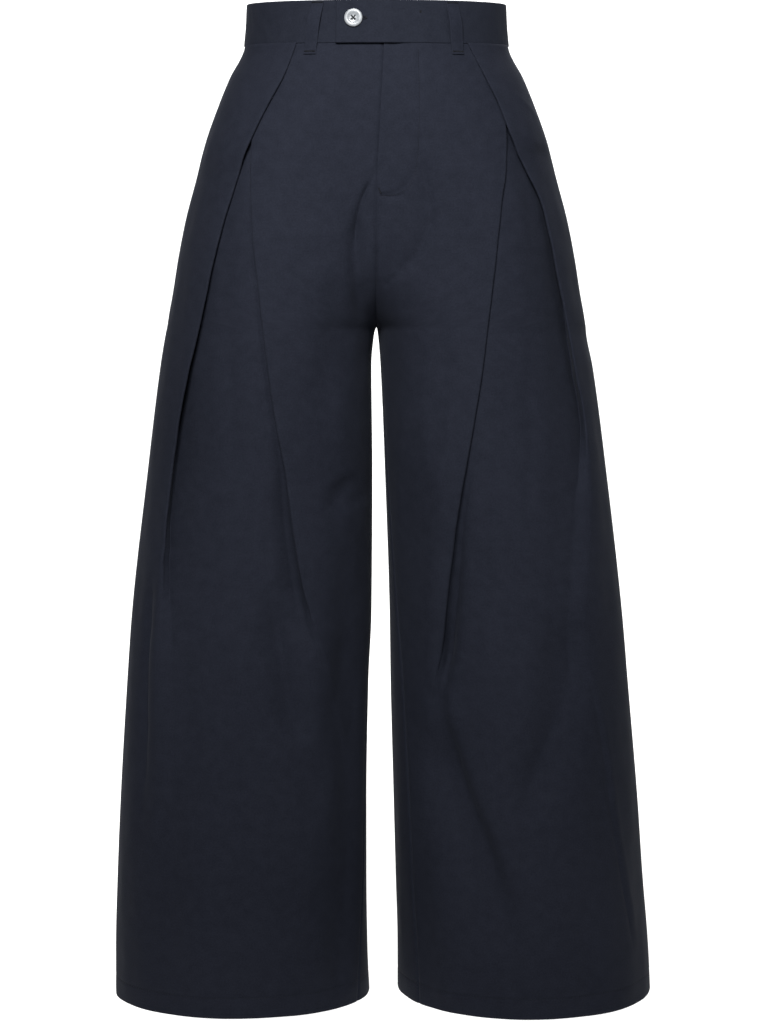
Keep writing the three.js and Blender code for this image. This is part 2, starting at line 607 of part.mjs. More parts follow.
// Round button with four holes
function buttonGeometry() {
  const outline = new THREE.Shape().absarc(0, 0, BUTTON_RADIUS - BUTTON_BEVEL, 0, 2 * Math.PI);
  for (const [i, j] of [[1, 1], [-1, 1], [-1, -1], [1, -1]]) {
    const centre = new THREE.Vector2(i, j).setLength(BUTTON_HOLE_SPREAD);
    const corners = steps(0, 2 * Math.PI, 9).slice(1).map((turn) =>
      new THREE.Vector2(BUTTON_HOLE, 0).rotateAround(new THREE.Vector2(), -turn).add(centre),
    );
    outline.holes.push(new THREE.Path(corners));
  }
  const geometry = new THREE.ExtrudeGeometry(outline, {
    depth: BUTTON_THICK - 2 * BUTTON_BEVEL,
    bevelThickness: BUTTON_BEVEL,
    bevelSize: BUTTON_BEVEL,
    bevelSegments: 1,
    curveSegments: 12,
  });
  return geometry.translate(0, 0, BUTTON_BEVEL);
}

const cloth = new THREE.MeshStandardMaterial({ color: CLOTH_COLOUR, roughness: 0.82, metalness: 0 });
const band = new THREE.MeshStandardMaterial({ color: BAND_COLOUR, roughness: 0.8, metalness: 0 });
const tape = new THREE.MeshStandardMaterial({ color: ZIP_COLOUR, roughness: 0.6, metalness: 0.1 });
const plastic = new THREE.MeshStandardMaterial({ color: BUTTON_COLOUR, roughness: 0.35, metalness: 0 });

const trousers = new THREE.Group();

function add(name, geometry, material) {
  const mesh = new THREE.Mesh(geometry, material);
  mesh.name = name;
  trousers.add(mesh);
  return mesh;
}

for (const half of ["right", "left"]) {
  add("front_" + half, frontGeometry(half), cloth);
  add("back_" + half, backGeometry(half), cloth);
  add("waistband_" + half, bandGeometry(half), band);
}
add("fly_shield", shieldGeometry(), cloth);
add("zip", zipGeometry(), tape);

// Belt loops: distances from the centre plane at their top and bottom ends
const LOOPS = [
  { name: "front_right", half: "right", top: 56.5, bottom: 65, behind: false },
  { name: "front_left", half: "left", top: 73.5, bottom: 80, behind: false },
  { name: "side_right", half: "right", top: 96, bottom: 99, behind: true },
  { name: "side_left", half: "left", top: 96, bottom: 99, behind: true },
  { name: "back", half: "left", top: 0, bottom: 0, behind: true },
];
for (const loop of LOOPS) add("belt_loop_" + loop.name, loopGeometry(loop), cloth);

const button = add("button", buttonGeometry(), plastic);
const buttonAngle = angleAt("left", BUTTON_Z, BUTTON_X);
const buttonSeat = 1.5 * BAND_WALL + 2 * SEAM_GAP;
const buttonHeight = BUTTON_Z + WAIST_TILT * HIPS[0].front;
const bandSpot = (turn, rise) => ringPoint("left", buttonHeight + rise, buttonAngle + turn, 0);
const bandNormal = new THREE.Vector3().crossVectors(
  bandSpot(0, -1).sub(bandSpot(0, 1)),
  bandSpot(1, 0).sub(bandSpot(-1, 0)),
);
button.position.copy(bandSpot(0, 0)).addScaledVector(bandNormal.normalize(), buttonSeat);
button.quaternion.setFromUnitVectors(new THREE.Vector3(0, 0, 1), bandNormal);

export default trousers;
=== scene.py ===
"""Wide-leg trousers as worn: cloth, band, fly, loops, button, thread and their finishes.

Lengths are millimetres up to the meshes, which are written in metres. +Z is up, the front
faces -Y, and the origin is the middle of the waist opening, half way up the band. Left and
right are the wearer's own, so +X is the left.
"""
import logging
import math
from dataclasses import dataclass
from enum import Enum
from typing import Sequence

import bpy
import numpy as np
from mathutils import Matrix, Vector
from numpy.typing import NDArray


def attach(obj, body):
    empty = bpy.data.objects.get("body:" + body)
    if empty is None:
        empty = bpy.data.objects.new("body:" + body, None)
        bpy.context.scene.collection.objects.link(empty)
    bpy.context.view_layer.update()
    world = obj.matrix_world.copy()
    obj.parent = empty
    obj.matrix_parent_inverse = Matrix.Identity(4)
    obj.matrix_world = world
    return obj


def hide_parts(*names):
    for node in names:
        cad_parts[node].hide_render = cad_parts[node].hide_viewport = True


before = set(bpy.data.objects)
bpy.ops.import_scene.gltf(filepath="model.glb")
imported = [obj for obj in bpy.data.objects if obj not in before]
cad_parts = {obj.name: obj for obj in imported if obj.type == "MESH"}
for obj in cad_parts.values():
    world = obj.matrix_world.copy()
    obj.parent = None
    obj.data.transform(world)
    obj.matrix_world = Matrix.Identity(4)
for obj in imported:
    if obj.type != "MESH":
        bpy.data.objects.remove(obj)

Array = NDArray[np.float64]
Colour = tuple[float, float, float]
Place = tuple[float, float, float]
Points2 = Sequence[tuple[float, float]]

MM = 0.001
BODY = "root"
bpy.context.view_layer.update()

log = logging.getLogger("trousers")


class Half(Enum):
    """The wearer's right or left half. The value is the sign of X there."""

    RIGHT = -1
    LEFT = 1

    @property
    def label(self) -> str:
        """The half's name inside the names of nodes and pieces."""
        return self.name.lower()


# Curves and tables


def ease(x: Array | float, low: Array | float, high: Array | float) -> Array:
    """Smooth step: 0 up to low, 1 from high, and 3t^2 - 2t^3 between.

    Args:
        x: values to ease.
        low: where the step starts.
        high: where it ends.

    Returns:
        The eased values, from 0 to 1.
    """
    span = np.asarray(high, float) - np.asarray(low, float)
    span = np.where(np.abs(span) < 1e-9, 1e-9, span)
    t = np.clip((np.asarray(x, float) - low) / span, 0.0, 1.0)
    return t * t * (3.0 - 2.0 * t)


def mix(a: Array | float, b: Array | float, t: Array | float) -> Array:
    """The value that lies a share t of the way from a to b."""
    return np.asarray(a, float) + (np.asarray(b, float) - a) * t


def between(a: Array, b: Array, count: int, first: bool = True) -> Array:
    """Equal steps from a to b in every row.

    Args:
        a: one start a row, as a column.
        b: one end a row, as a column.
        count: steps with both ends counted.
        first: False leaves the start out.

    Returns:
        One row of values for each start.
    """
    return a + (b - a) * np.linspace(0.0, 1.0, count)[0 if first else 1 :]


def unit(vectors: Array) -> Array:
    """Vectors brought to a length of one."""
    return vectors / np.maximum(np.linalg.norm(vectors, axis=-1, keepdims=True), 1e-9)


def square_to(vectors: Array, heading: Array) -> Array:
    """Unit vectors left when the part along a unit heading is taken out."""
    return unit(vectors - (vectors * heading).sum(-1, keepdims=True) * heading)


def reach_along(path: Array) -> Array:
    """Distance from a path's first point to each of its points, along the path."""
    return np.concatenate([[0], np.cumsum(np.linalg.norm(np.diff(path, axis=0), axis=-1))])


def sampled(values: Array, reach: Array, at: Array) -> Array:
    """Values that belong to the points of a path, read off at distances along it."""
    return np.stack([np.interp(at, reach, column) for column in values.T], 1)


def rounded(values: Array, times: int) -> Array:
    """Values with each inner one mixed half and half with its neighbours.

    Args:
        values: the values, in rows.
        times: how many times over.

    Returns:
        The mixed values; the first and last row stay.
    """
    values = values.copy()
    for _ in range(times):
        values[1:-1] = 0.25 * values[:-2] + 0.5 * values[1:-1] + 0.25 * values[2:]
    return values


def full_turn(count: int) -> Array:
    """Even angles round a circle, in radians."""
    return np.linspace(0, 2 * np.pi, count, endpoint=False)


def squarish(wave: Array, power: float) -> Array:
    """A sine or cosine with a flatter swing: sign(w) |w|^power."""
    return np.sign(wave) * np.abs(wave) ** power


def drawn_in(away: Array, radius: float) -> Array:
    """How far a round edge draws in at a distance e from it: 1 - sqrt(1 - (1 - e / r)^2)."""
    near = 1 - np.clip(away / radius, 0, 1)
    return 1 - np.sqrt(np.clip(1 - near**2, 0, 1))


@dataclass(frozen=True)
class Table:
    """Named columns of sizes over falling heights."""

    names: tuple[str, ...]
    rows: tuple[tuple[float, ...], ...]

    def at(self, name: str, z: Array) -> Array:
        """A column at heights z, on a smooth curve with no overshoot between its rows.

        The curve is a cubic with a slope at each row: the harmonic mean of the rises on both
        sides, or 0 where they differ in sign.

        Args:
            name: the column.
            z: heights.

        Returns:
            The column's values there.
        """
        data = np.array(self.rows)
        heights, values = data[:, 0], data[:, 1 + self.names.index(name)]
        rise = np.diff(values) / np.diff(heights)
        before, after = rise[:-1], rise[1:]
        same = before * after > 0
        bend = np.where(same, 2 * before * after / np.where(same, before + after, 1.0), 0.0)
        slope = np.concatenate([rise[:1], bend, rise[-1:]])
        z = np.asarray(z, float)
        i = np.clip(np.searchsorted(-heights, -z, side="right") - 1, 0, len(heights) - 2)
        step = heights[i + 1] - heights[i]
        t = np.clip((z - heights[i]) / step, 0.0, 1.0)
        t2, t3 = t * t, t * t * t
        return (
            values[i] * (2 * t3 - 3 * t2 + 1)
            + values[i + 1] * (3 * t2 - 2 * t3)
            + slope[i] * step * (t3 - 2 * t2 + t)
            + slope[i + 1] * step * (t3 - t2)
        )


# Form of the garment, as in the solids

BAND_HEIGHT = 42.6
BAND_WALL = 2.6
CROTCH_Z = -305.0
SEAM_LAP = 0.05  # each edge runs past its seam line by this, so that no light comes through
SIDE_SEAM = 92.0
WAIST_TILT = 0.08
TILT_END = -160.0
HEM_Z = {Half.RIGHT: -982.5, Half.LEFT: -978.0}
FLY_END_Z = -160.0

HIPS = Table(
    ("outer", "centre", "inward", "front", "back"),
    (
        (22, 130, 0, 130, 91.5, 88),
        (-21, 133, 0, 133, 93.5, 91),
        (-55, 149, 18, 250, 97, 98),
        (-85, 161, 38, 380, 99, 105),
        (-118, 172.5, 60, 420, 101, 111),
        (-157, 182.5, 80, 364, 104, 117),
        (-197, 193, 96, 282, 106, 121),
        (-238, 201, 104, 193, 108, 122),
        (-270, 206, 106, 143, 109, 121),
        (-292, 210, 106.5, 118.3, 109, 120),
        (-305, 212, 106.5, 106.5, 109, 119),
    ),
)

LEG_COLUMNS = ("outer", "inner", "front", "back", "inseam")
LEGS = {
    Half.RIGHT: Table(
        LEG_COLUMNS,
        (
            (-305, 212, 0.8, 109, 119, -90),
            (-312, 213.5, 2.8, 109, 119, -90),
            (-345, 219, 5.6, 109, 118, -90),
            (-450, 232, 4.6, 108, 115, -90),
            (-595, 248.5, 5.6, 108, 110, -86),
            (-665, 253.5, 8.7, 108, 109, -84),
            (-786, 260.6, 10.7, 109, 107, -80),
            (-861, 263.7, 10.7, 110, 106, -77),
            (-937, 265.7, 9.7, 111, 106, -70),
            (-983, 265.7, 7.7, 112, 106, -66),
        ),
    ),
    Half.LEFT: Table(
        LEG_COLUMNS,
        (
            (-305, 212, 0.8, 109, 119, -90),
            (-312, 212.5, 1.8, 109, 119, -90),
            (-345, 219, 4.6, 109, 117, -87),
            (-450, 233, 9, 110, 113, -79),
            (-595, 249.5, 13.8, 114, 106, -69),
            (-665, 255.5, 14.8, 117, 103, -64),
            (-786, 265.7, 17.9, 122, 98, -61),
            (-861, 270.8, 19.9, 126, 96, -60),
            (-937, 276.9, 21.9, 130, 94, -58),
            (-983, 279, 21.9, 132, 94, -57),
        ),
    ),
}

PLEAT_COLUMNS = ("side", "middle", "tuck", "tuck_middle", "valley", "crisp", "crisp_middle")
PLEATS = {
    Half.RIGHT: Table(
        PLEAT_COLUMNS,
        (
            (-21, 78, 115, 57, 12, 4.2, 1, 1),
            (-55, 90, 117.5, 47, 12, 4.2, 1, 1),
            (-85, 105, 120, 36, 12, 4.2, 1, 1),
            (-118, 120, 122, 30, 12, 4.2, 1, 1),
            (-151, 133.5, 123, 28, 12, 4.2, 1, 1),
            (-215, 154, 120.5, 24, 12, 6, 1, 1),
            (-260, 165, 115.5, 22, 12, 8, 1, 1),
            (-305, 175, 110.5, 20, 12, 10, 1, 1),
            (-350, 186, 105, 17, 12, 12, 1, 1),
            (-400, 197, 97.5, 14, 10, 14, 1, 1),
            (-450, 204, 88, 11, 10, 13.5, 1, 1),
            (-500, 208.5, 81.5, 6, 7, 12.5, 1, 1),
            (-555, 213.5, 73, 1, 3, 11, 0.7, 1),
            (-600, 216, 62, 0.8, 0.8, 9, 0.2, 0.5),
            (-645, 216, 49.5, 0, 0, 7, 0, 0),
            (-745, 213.5, 24, 0, 0, 4, 0, 0),
            (-820, 224, 24, 0, 0, 2, 0, 0),
            (-983, 240, 50, 0, 0, 0, 0, 0),
        ),
    ),
    Half.LEFT: Table(
        PLEAT_COLUMNS,
        (
            (-21, 90, 118, 51, 12, 4.2, 1, 1),
            (-55, 106, 122.5, 40, 12, 4.2, 1, 1),
            (-85, 119.5, 126, 32, 12, 4.6, 1, 1),
            (-118, 131.5, 128, 28, 12, 5.2, 1, 1),
            (-151, 148.5, 127, 25, 12, 6.6, 1, 1),
            (-184, 164, 122.5, 22, 12, 8, 1, 1),
            (-260, 181.5, 114, 17, 12, 11, 1, 1),
            (-305, 190.3, 108.5, 14, 12, 12, 1, 1),
            (-350, 198.3, 103, 11, 12, 12, 1, 1),
            (-400, 207.5, 95, 4, 10, 10, 1, 1),
            (-450, 210, 86.5, 0.8, 9, 9, 0.5, 1),
            (-500, 209.5, 78.5, 0, 10, 7, 0, 1),
            (-555, 205, 71.5, 0, 7, 6, 0, 1),
            (-600, 203, 66, 0, 4, 5, 0, 1),
            (-645, 209.5, 59, 0, 0.8, 4, 0, 0.6),
            (-700, 223.5, 54, 0, 0, 3, 0, 0),
            (-820, 238, 50, 0, 0, 2, 0, 0),
            (-983, 264, 60, 0, 0, 0, 0, 0),
        ),
    ),
}

DIPS = {
    Half.RIGHT: Table(
        ("depth", "width"),
        (
            (-100, 0, 4), (-150, 2.8, 4), (-400, 3, 4), (-450, 7, 10), (-500, 12, 18),
            (-560, 13, 20), (-620, 12, 20), (-680, 6, 20), (-740, 0, 20),
        ),
    ),
    Half.LEFT: Table(
        ("depth", "width"),
        (
            (-100, 0, 4), (-150, 0, 4), (-400, 0, 4), (-450, 4, 5), (-520, 8, 8),
            (-600, 11, 11), (-650, 11, 11), (-700, 4, 11), (-740, 0, 11),
        ),
    ),
}

FLY = Table(("edge",), ((22, 8), (-30, 7.2), (-82, 4.7), (-140, 1.8), (-165, 0), (-983, 0)))


@dataclass(frozen=True)
class Rings:
    """Level sections of one half at several heights, each an ellipse about its own centre.

    The half axis across is inward on the side of the body's middle and outward on the other,
    and the one fore and aft is front or back. Every field but half is a column of numbers.
    """

    half: Half
    z: Array
    centre: Array
    inward: Array
    outward: Array
    front: Array
    back: Array
    inseam: Array

    @classmethod
    def of(cls, half: Half, heights: Array | float) -> "Rings":
        """The sections at the given heights.

        Args:
            half: the garment's half.
            heights: one height for each section.

        Returns:
            The sections.
        """
        z = np.asarray(heights, float).reshape(-1, 1)
        legs, hips = LEGS[half], z >= CROTCH_Z
        centre = np.where(hips, HIPS.at("centre", z), (legs.at("outer", z) + legs.at("inner", z)) / 2)
        half_leg = (legs.at("outer", z) - legs.at("inner", z)) / 2
        inward = np.where(hips, HIPS.at("inward", z), half_leg)
        meets = -np.degrees(np.arcsin(np.clip(centre / inward, -1, 1)))
        return cls(
            half,
            z,
            centre,
            inward,
            np.where(hips, HIPS.at("outer", z) - centre, half_leg),
            np.where(hips, HIPS.at("front", z), legs.at("front", z)),
            np.where(hips, HIPS.at("back", z), legs.at("back", z)),
            np.where(hips, meets, legs.at("inseam", z)),
        )

    def axes(self, turn: Array) -> tuple[Array, Array]:
        """Half axes, across and deep, on the side where each angle in radians points."""
        across = np.where(np.sin(turn) < 0, self.inward, self.outward)
        return across, np.where(np.cos(turn) > 0, self.front, self.back)

    def point(self, angle: Array, offset: Array | float) -> Array:
        """Points of the sections: centre + (across sin a, -deep cos a) + offset along the normal.

        The waist dips at the front, so each point rises by the tilt times its y.

        Args:
            angle: degrees round from the front, a row of them for each section.
            offset: distance out from the ellipse.

        Returns:
            Rows by columns by three.
        """
        turn = np.radians(angle)
        across, deep = self.axes(turn)
        nx, ny = np.sin(turn) / across, -np.cos(turn) / deep
        length = np.hypot(nx, ny)
        out = self.centre + across * np.sin(turn) + nx / length * offset
        y = -deep * np.cos(turn) + ny / length * offset
        rise = WAIST_TILT * ease(self.z, TILT_END, 0) * y
        return np.stack([self.half.value * out, y, np.broadcast_to(self.z, y.shape) + rise], -1)

    def angle_at(self, out: Array | float) -> Array:
        """Angle on the front where a section is a given distance from the centre plane."""
        across = np.where(out < self.centre, self.inward, self.outward)
        return np.degrees(np.arcsin(np.clip((out - self.centre) / across, -1, 1)))

    def per_mm(self, angle: Array) -> Array:
        """Degrees that one millimetre of cloth takes up round the section."""
        turn = np.radians(angle)
        across, deep = self.axes(turn)
        return np.degrees(1 / np.hypot(across * np.cos(turn), deep * np.sin(turn)))

    def out_at(self, angle: Array) -> Array:
        """Distance from the centre plane of the section's own points."""
        turn = np.radians(angle)
        return self.centre + self.axes(turn)[0] * np.sin(turn)

    def evenly(self, start: Array, end: Array, count: int, crowd: float = 1.0) -> Array:
        """Angles from start to end that are evenly spaced along the cloth.

        Args:
            start: first angle of each section.
            end: last angle of each section.
            count: angles with both ends counted.
            crowd: power of the share along the cloth; above 1 crowds them at the start.

        Returns:
            A row of angles for each section.
        """
        steps = 80
        fine = between(start, end, steps + 1)
        middle = (fine[:, 1:] + fine[:, :-1]) / 2
        step = np.abs(np.diff(fine, axis=1)) / self.per_mm(middle)
        length = np.concatenate([np.zeros((len(fine), 1)), np.cumsum(step, axis=1)], axis=1)
        wanted = length[:, -1:] * np.linspace(0, 1, count) ** crowd
        i = np.clip((length[:, None, :] <= wanted[:, :, None]).sum(-1) - 1, 0, steps - 1)
        low, high = np.take_along_axis(length, i, 1), np.take_along_axis(length, i + 1, 1)
        t = np.clip((wanted - low) / np.maximum(high - low, 1e-9), 0, 1)
        return mix(np.take_along_axis(fine, i, 1), np.take_along_axis(fine, i + 1, 1), t)


# Creases laid in one by one


@dataclass(frozen=True)
class Fold:
    """One trough in the cloth, or a ridge where its depth is negative.

    The cloth sinks by depth exp(-(d / width)^power) at a distance d from the path, and rises
    by ridge exp(-((s - 1.8 width) / 1.2 width)^2) on the side where s is positive, which lies
    to the left of the path. Both die away over the shares fade of the path at its ends.
    """

    depth: float
    width: float
    path: Points2
    ridge: float = 0.0
    power: float = 2.0
    fade: tuple[float, float] = (0.25, 0.25)

    def lift(self, out: Array, z: Array) -> Array:
        """How far the fold lifts points.

        Args:
            out: their distances from the centre plane.
            z: their heights.

        Returns:
            The lifts, negative in the trough.
        """
        line = smooth_path(self.path, 24)
        best = np.full(out.shape, np.inf)
        signed, share = np.zeros(out.shape), np.zeros(out.shape)
        for i, (a, b) in enumerate(zip(line[:-1], line[1:])):
            d = b - a
            t = np.clip(((out - a[0]) * d[0] + (z - a[1]) * d[1]) / (d @ d), 0, 1)
            dx, dz = out - a[0] - t * d[0], z - a[1] - t * d[1]
            far = np.hypot(dx, dz)
            nearer = far < best
            best = np.where(nearer, far, best)
            signed = np.where(nearer, far * np.sign(d[0] * dz - d[1] * dx), signed)
            share = np.where(nearer, (i + t) / (len(line) - 1), share)
        alive = ease(share, -1e-3, self.fade[0]) * (1 - ease(share, 1 - self.fade[1], 1.001))
        sunk = self.depth * np.exp(-((best / self.width) ** self.power))
        beside = self.ridge * np.exp(-(((signed - 1.8 * self.width) / (1.2 * self.width)) ** 2))
        return (beside - sunk) * alive


def smooth_path(path: Points2, count: int) -> Array:
    """A path's points, evenly spaced and rounded at its corners.

    Args:
        path: corner points.
        count: number of points wanted.

    Returns:
        The points, count by two.
    """
    corners = np.array(path, float)
    reach = reach_along(corners)
    return rounded(sampled(corners, reach, np.linspace(0, reach[-1], count)), 6)


FRONT_FOLDS = {
    Half.RIGHT: (
        Fold(6, 9, ((17, -190), (20, -215), (19, -240), (16, -270), (10, -310))),
        Fold(11, 19, ((99, -550), (93, -620), (80, -689), (68, -735)), fade=(0.35, 0.3)),
        Fold(3, 17, ((40, -455), (30, -470), (22, -488))),
        Fold(
            5.0, 2.7, ((-1, -158), (8, -168), (15, -184), (19, -205), (20, -236)),
            ridge=0.2, power=1.2, fade=(0.05, 0.4),
        ),
        Fold(1.6, 5, ((111, -470), (111, -520), (104, -562), (93, -608), (78, -691), (66, -730))),
        Fold(1.8, 7, ((52, -490), (34, -470), (20, -452)), ridge=0.3),
        Fold(3.0, 13, ((44, -240), (36, -290), (46, -350), (60, -420))),
        Fold(-1.6, 16, ((60, -560), (52, -650), (44, -740), (46, -830))),
        Fold(2.0, 13, ((122, -640), (118, -740), (124, -850), (132, -975)), fade=(0.5, 0.05)),
        Fold(-1.8, 17, ((158, -600), (160, -720), (168, -850), (176, -975)), fade=(0.5, 0.05)),
        Fold(1.7, 12, ((196, -560), (190, -680), (197, -800), (208, -960)), fade=(0.4, 0.1)),
        Fold(
            6, 17, ((30, -480), (27, -570), (25, -660), (27, -780), (31, -900), (34, -975)),
            fade=(0.3, 0.05),
        ),
        Fold(
            6, 4.2, ((221, -545), (228, -590), (231, -640), (231, -700), (231, -745), (236, -820)),
            power=1.4, fade=(0.2, 0.5),
        ),
        Fold(1.0, 13, ((40, -110), (52, -150), (74, -180))),
        Fold(3.0, 15, ((30, -600), (34, -660), (52, -730), (44, -800))),
        Fold(-2.6, 11, ((44, -730), (40, -765), (46, -800)), fade=(0.5, 0.5)),
        Fold(0.8, 6, ((62, -70), (40, -86), (22, -96))),
        Fold(0.9, 6, ((222, -512), (212, -524), (200, -533)), ridge=0.5),
        Fold(1.0, 7, ((142, -300), (146, -380), (140, -450))),
    ),
    Half.LEFT: (
        Fold(3.4, 11, ((44, -125), (47, -165), (53, -195), (48, -218), (38, -238), (12, -264))),
        Fold(15, 19, ((56, -680), (64, -735), (84, -786), (108, -837), (123, -888), (136, -930))),
        Fold(9, 24, ((189, -576), (187, -630), (182, -686), (160, -745), (136, -797))),
        Fold(
            1.3, 5.0, ((43, -118), (47, -165), (54, -195), (49, -218), (38, -238), (14, -262)),
            ridge=0.4, fade=(0.3, 0.2),
        ),
        Fold(1.7, 2.8, ((2, -176), (11, -179.5), (22, -179), (33, -171)), power=1.4, fade=(0.1, 0.35)),
        Fold(1.6, 2.4, ((20, -254), (14, -260), (7, -268)), ridge=0.6, power=1.5),
        Fold(
            3.0, 6.5, ((54, -652), (62, -684), (79, -753), (101, -795), (119, -856), (145, -868)),
            ridge=1.6, fade=(0.1, 0.35),
        ),
        Fold(2.4, 3.2, ((70, -600), (64, -625), (58, -655)), ridge=-0.6, power=1.4, fade=(0.6, 0.2)),
        Fold(1.8, 6, ((192, -577), (200, -625), (194, -661), (181, -690), (158, -742), (134, -795))),
        Fold(
            1.7, 2.6, ((204, -622), (213, -658), (222, -693), (235, -802), (258, -938)),
            ridge=0.9, power=1.3, fade=(0.3, 0.2),
        ),
        Fold(-1.8, 17, ((104, -560), (116, -640), (128, -720), (136, -790))),
        Fold(-6, 20, ((58, -340), (62, -400), (64, -470), (62, -540), (56, -640)), fade=(0.4, 0.3)),
        Fold(4, 9, ((92, -440), (84, -500), (77, -555), (71, -600), (63, -650)), fade=(0.5, 0.12)),
        Fold(2.5, 12, ((30, -640), (36, -740), (34, -850), (44, -960)), fade=(0.3, 0.1)),
        Fold(-1.5, 13, ((62, -800), (66, -880), (70, -970)), fade=(0.4, 0.05)),
        Fold(2.0, 14, ((196, -820), (204, -900), (212, -970)), fade=(0.5, 0.05)),
        Fold(1.4, 8, ((70, -300), (62, -380), (60, -450))),
        Fold(-0.9, 2.6, ((129, -68), (148, -84), (161, -98)), power=1.5),
        Fold(0.9, 6, ((60, -62), (78, -84), (98, -96))),
        Fold(1.0, 8, ((150, -330), (154, -420), (146, -500))),
    ),
}

BACK_FOLDS = {
    Half.RIGHT: (
        Fold(5, 16, ((20, -300), (60, -318), (110, -322), (150, -312))),
        Fold(5, 22, ((150, -420), (142, -500), (128, -590), (120, -680))),
        Fold(4, 18, ((70, -560), (82, -640), (104, -720))),
        Fold(2.2, 6, ((26, -306), (62, -322), (108, -326), (146, -316)), ridge=1.0),
        Fold(1.8, 7, ((16, -268), (44, -288), (84, -300), (118, -296)), ridge=0.8),
        Fold(1.8, 8, ((18, -350), (52, -372), (96, -380)), ridge=0.7),
        Fold(1.0, 1.4, ((64, -22), (63, -60), (61, -112)), power=1.4, fade=(0.02, 0.3)),
        Fold(2.2, 12, ((180, -560), (172, -680), (180, -820), (190, -975)), fade=(0.4, 0.05)),
        Fold(-2.0, 16, ((126, -700), (130, -800), (138, -975)), fade=(0.5, 0.05)),
        Fold(2.0, 12, ((74, -740), (76, -850), (84, -975)), fade=(0.5, 0.05)),
        Fold(1.6, 9, ((40, -440), (52, -520), (48, -620))),
    ),
    Half.LEFT: (
        Fold(5, 17, ((16, -308), (58, -326), (104, -331), (140, -322))),
        Fold(5, 21, ((160, -400), (149, -490), (131, -570), (118, -640))),
        Fold(4, 20, ((80, -620), (95, -700), (121, -770), (132, -830))),
        Fold(2.4, 6, ((20, -314), (56, -331), (102, -336), (142, -327)), ridge=1.0),
        Fold(1.6, 7, ((14, -276), (50, -296), (90, -304)), ridge=0.7),
        Fold(1.6, 8, ((24, -362), (60, -380), (110, -384), (140, -372)), ridge=0.6),
        Fold(1.0, 1.4, ((64, -22), (63, -60), (61, -112)), power=1.4, fade=(0.02, 0.3)),
        Fold(2.0, 13, ((190, -600), (186, -720), (196, -850), (208, -975)), fade=(0.4, 0.05)),
        Fold(-1.8, 15, ((150, -720), (156, -840), (162, -975)), fade=(0.5, 0.05)),
        Fold(1.8, 12, ((60, -720), (70, -840), (76, -975)), fade=(0.5, 0.05)),
        Fold(1.6, 9, ((44, -430), (56, -510), (58, -590))),
    ),
}


def crumple(folds: Sequence[Fold], out: Array, z: Array) -> Array:
    """Sum of what several folds lift each point."""
    return sum((fold.lift(out, z) for fold in folds), np.zeros(out.shape))


def flutter(half: Half, angle: Array, z: Array) -> Array:
    """Fine unevenness of hanging cloth: slow sines of angle and height, and products of quicker ones.

    Args:
        half: the garment's half, which shifts the waves.
        angle: degrees round from the front.
        z: heights.

    Returns:
        Offsets of up to about a millimetre, which die away at the sides.
    """
    turn, shift = np.radians(angle), 1.7 * half.value
    waves = (
        0.55 * np.sin(5.1 * turn + 0.011 * z + shift)
        + 0.40 * np.sin(9.3 * turn - 0.017 * z + 2.2 * shift)
        + 0.30 * np.sin(3.7 * turn + 0.043 * z - shift)
    )
    waves = waves * ease(-z, 100, 480)
    dimples = 0.34 * np.sin(13.1 * turn + 0.052 * z) * np.sin(7.7 * turn - 0.083 * z + 3 * shift)
    dimples += 0.22 * np.sin(17.3 * turn - 0.071 * z + shift) * np.sin(4.1 * turn + 0.124 * z)
    return (waves + dimples * ease(-z, 30, 120)) * ease(np.abs(np.cos(turn)), 0.05, 0.45)


# Meshes


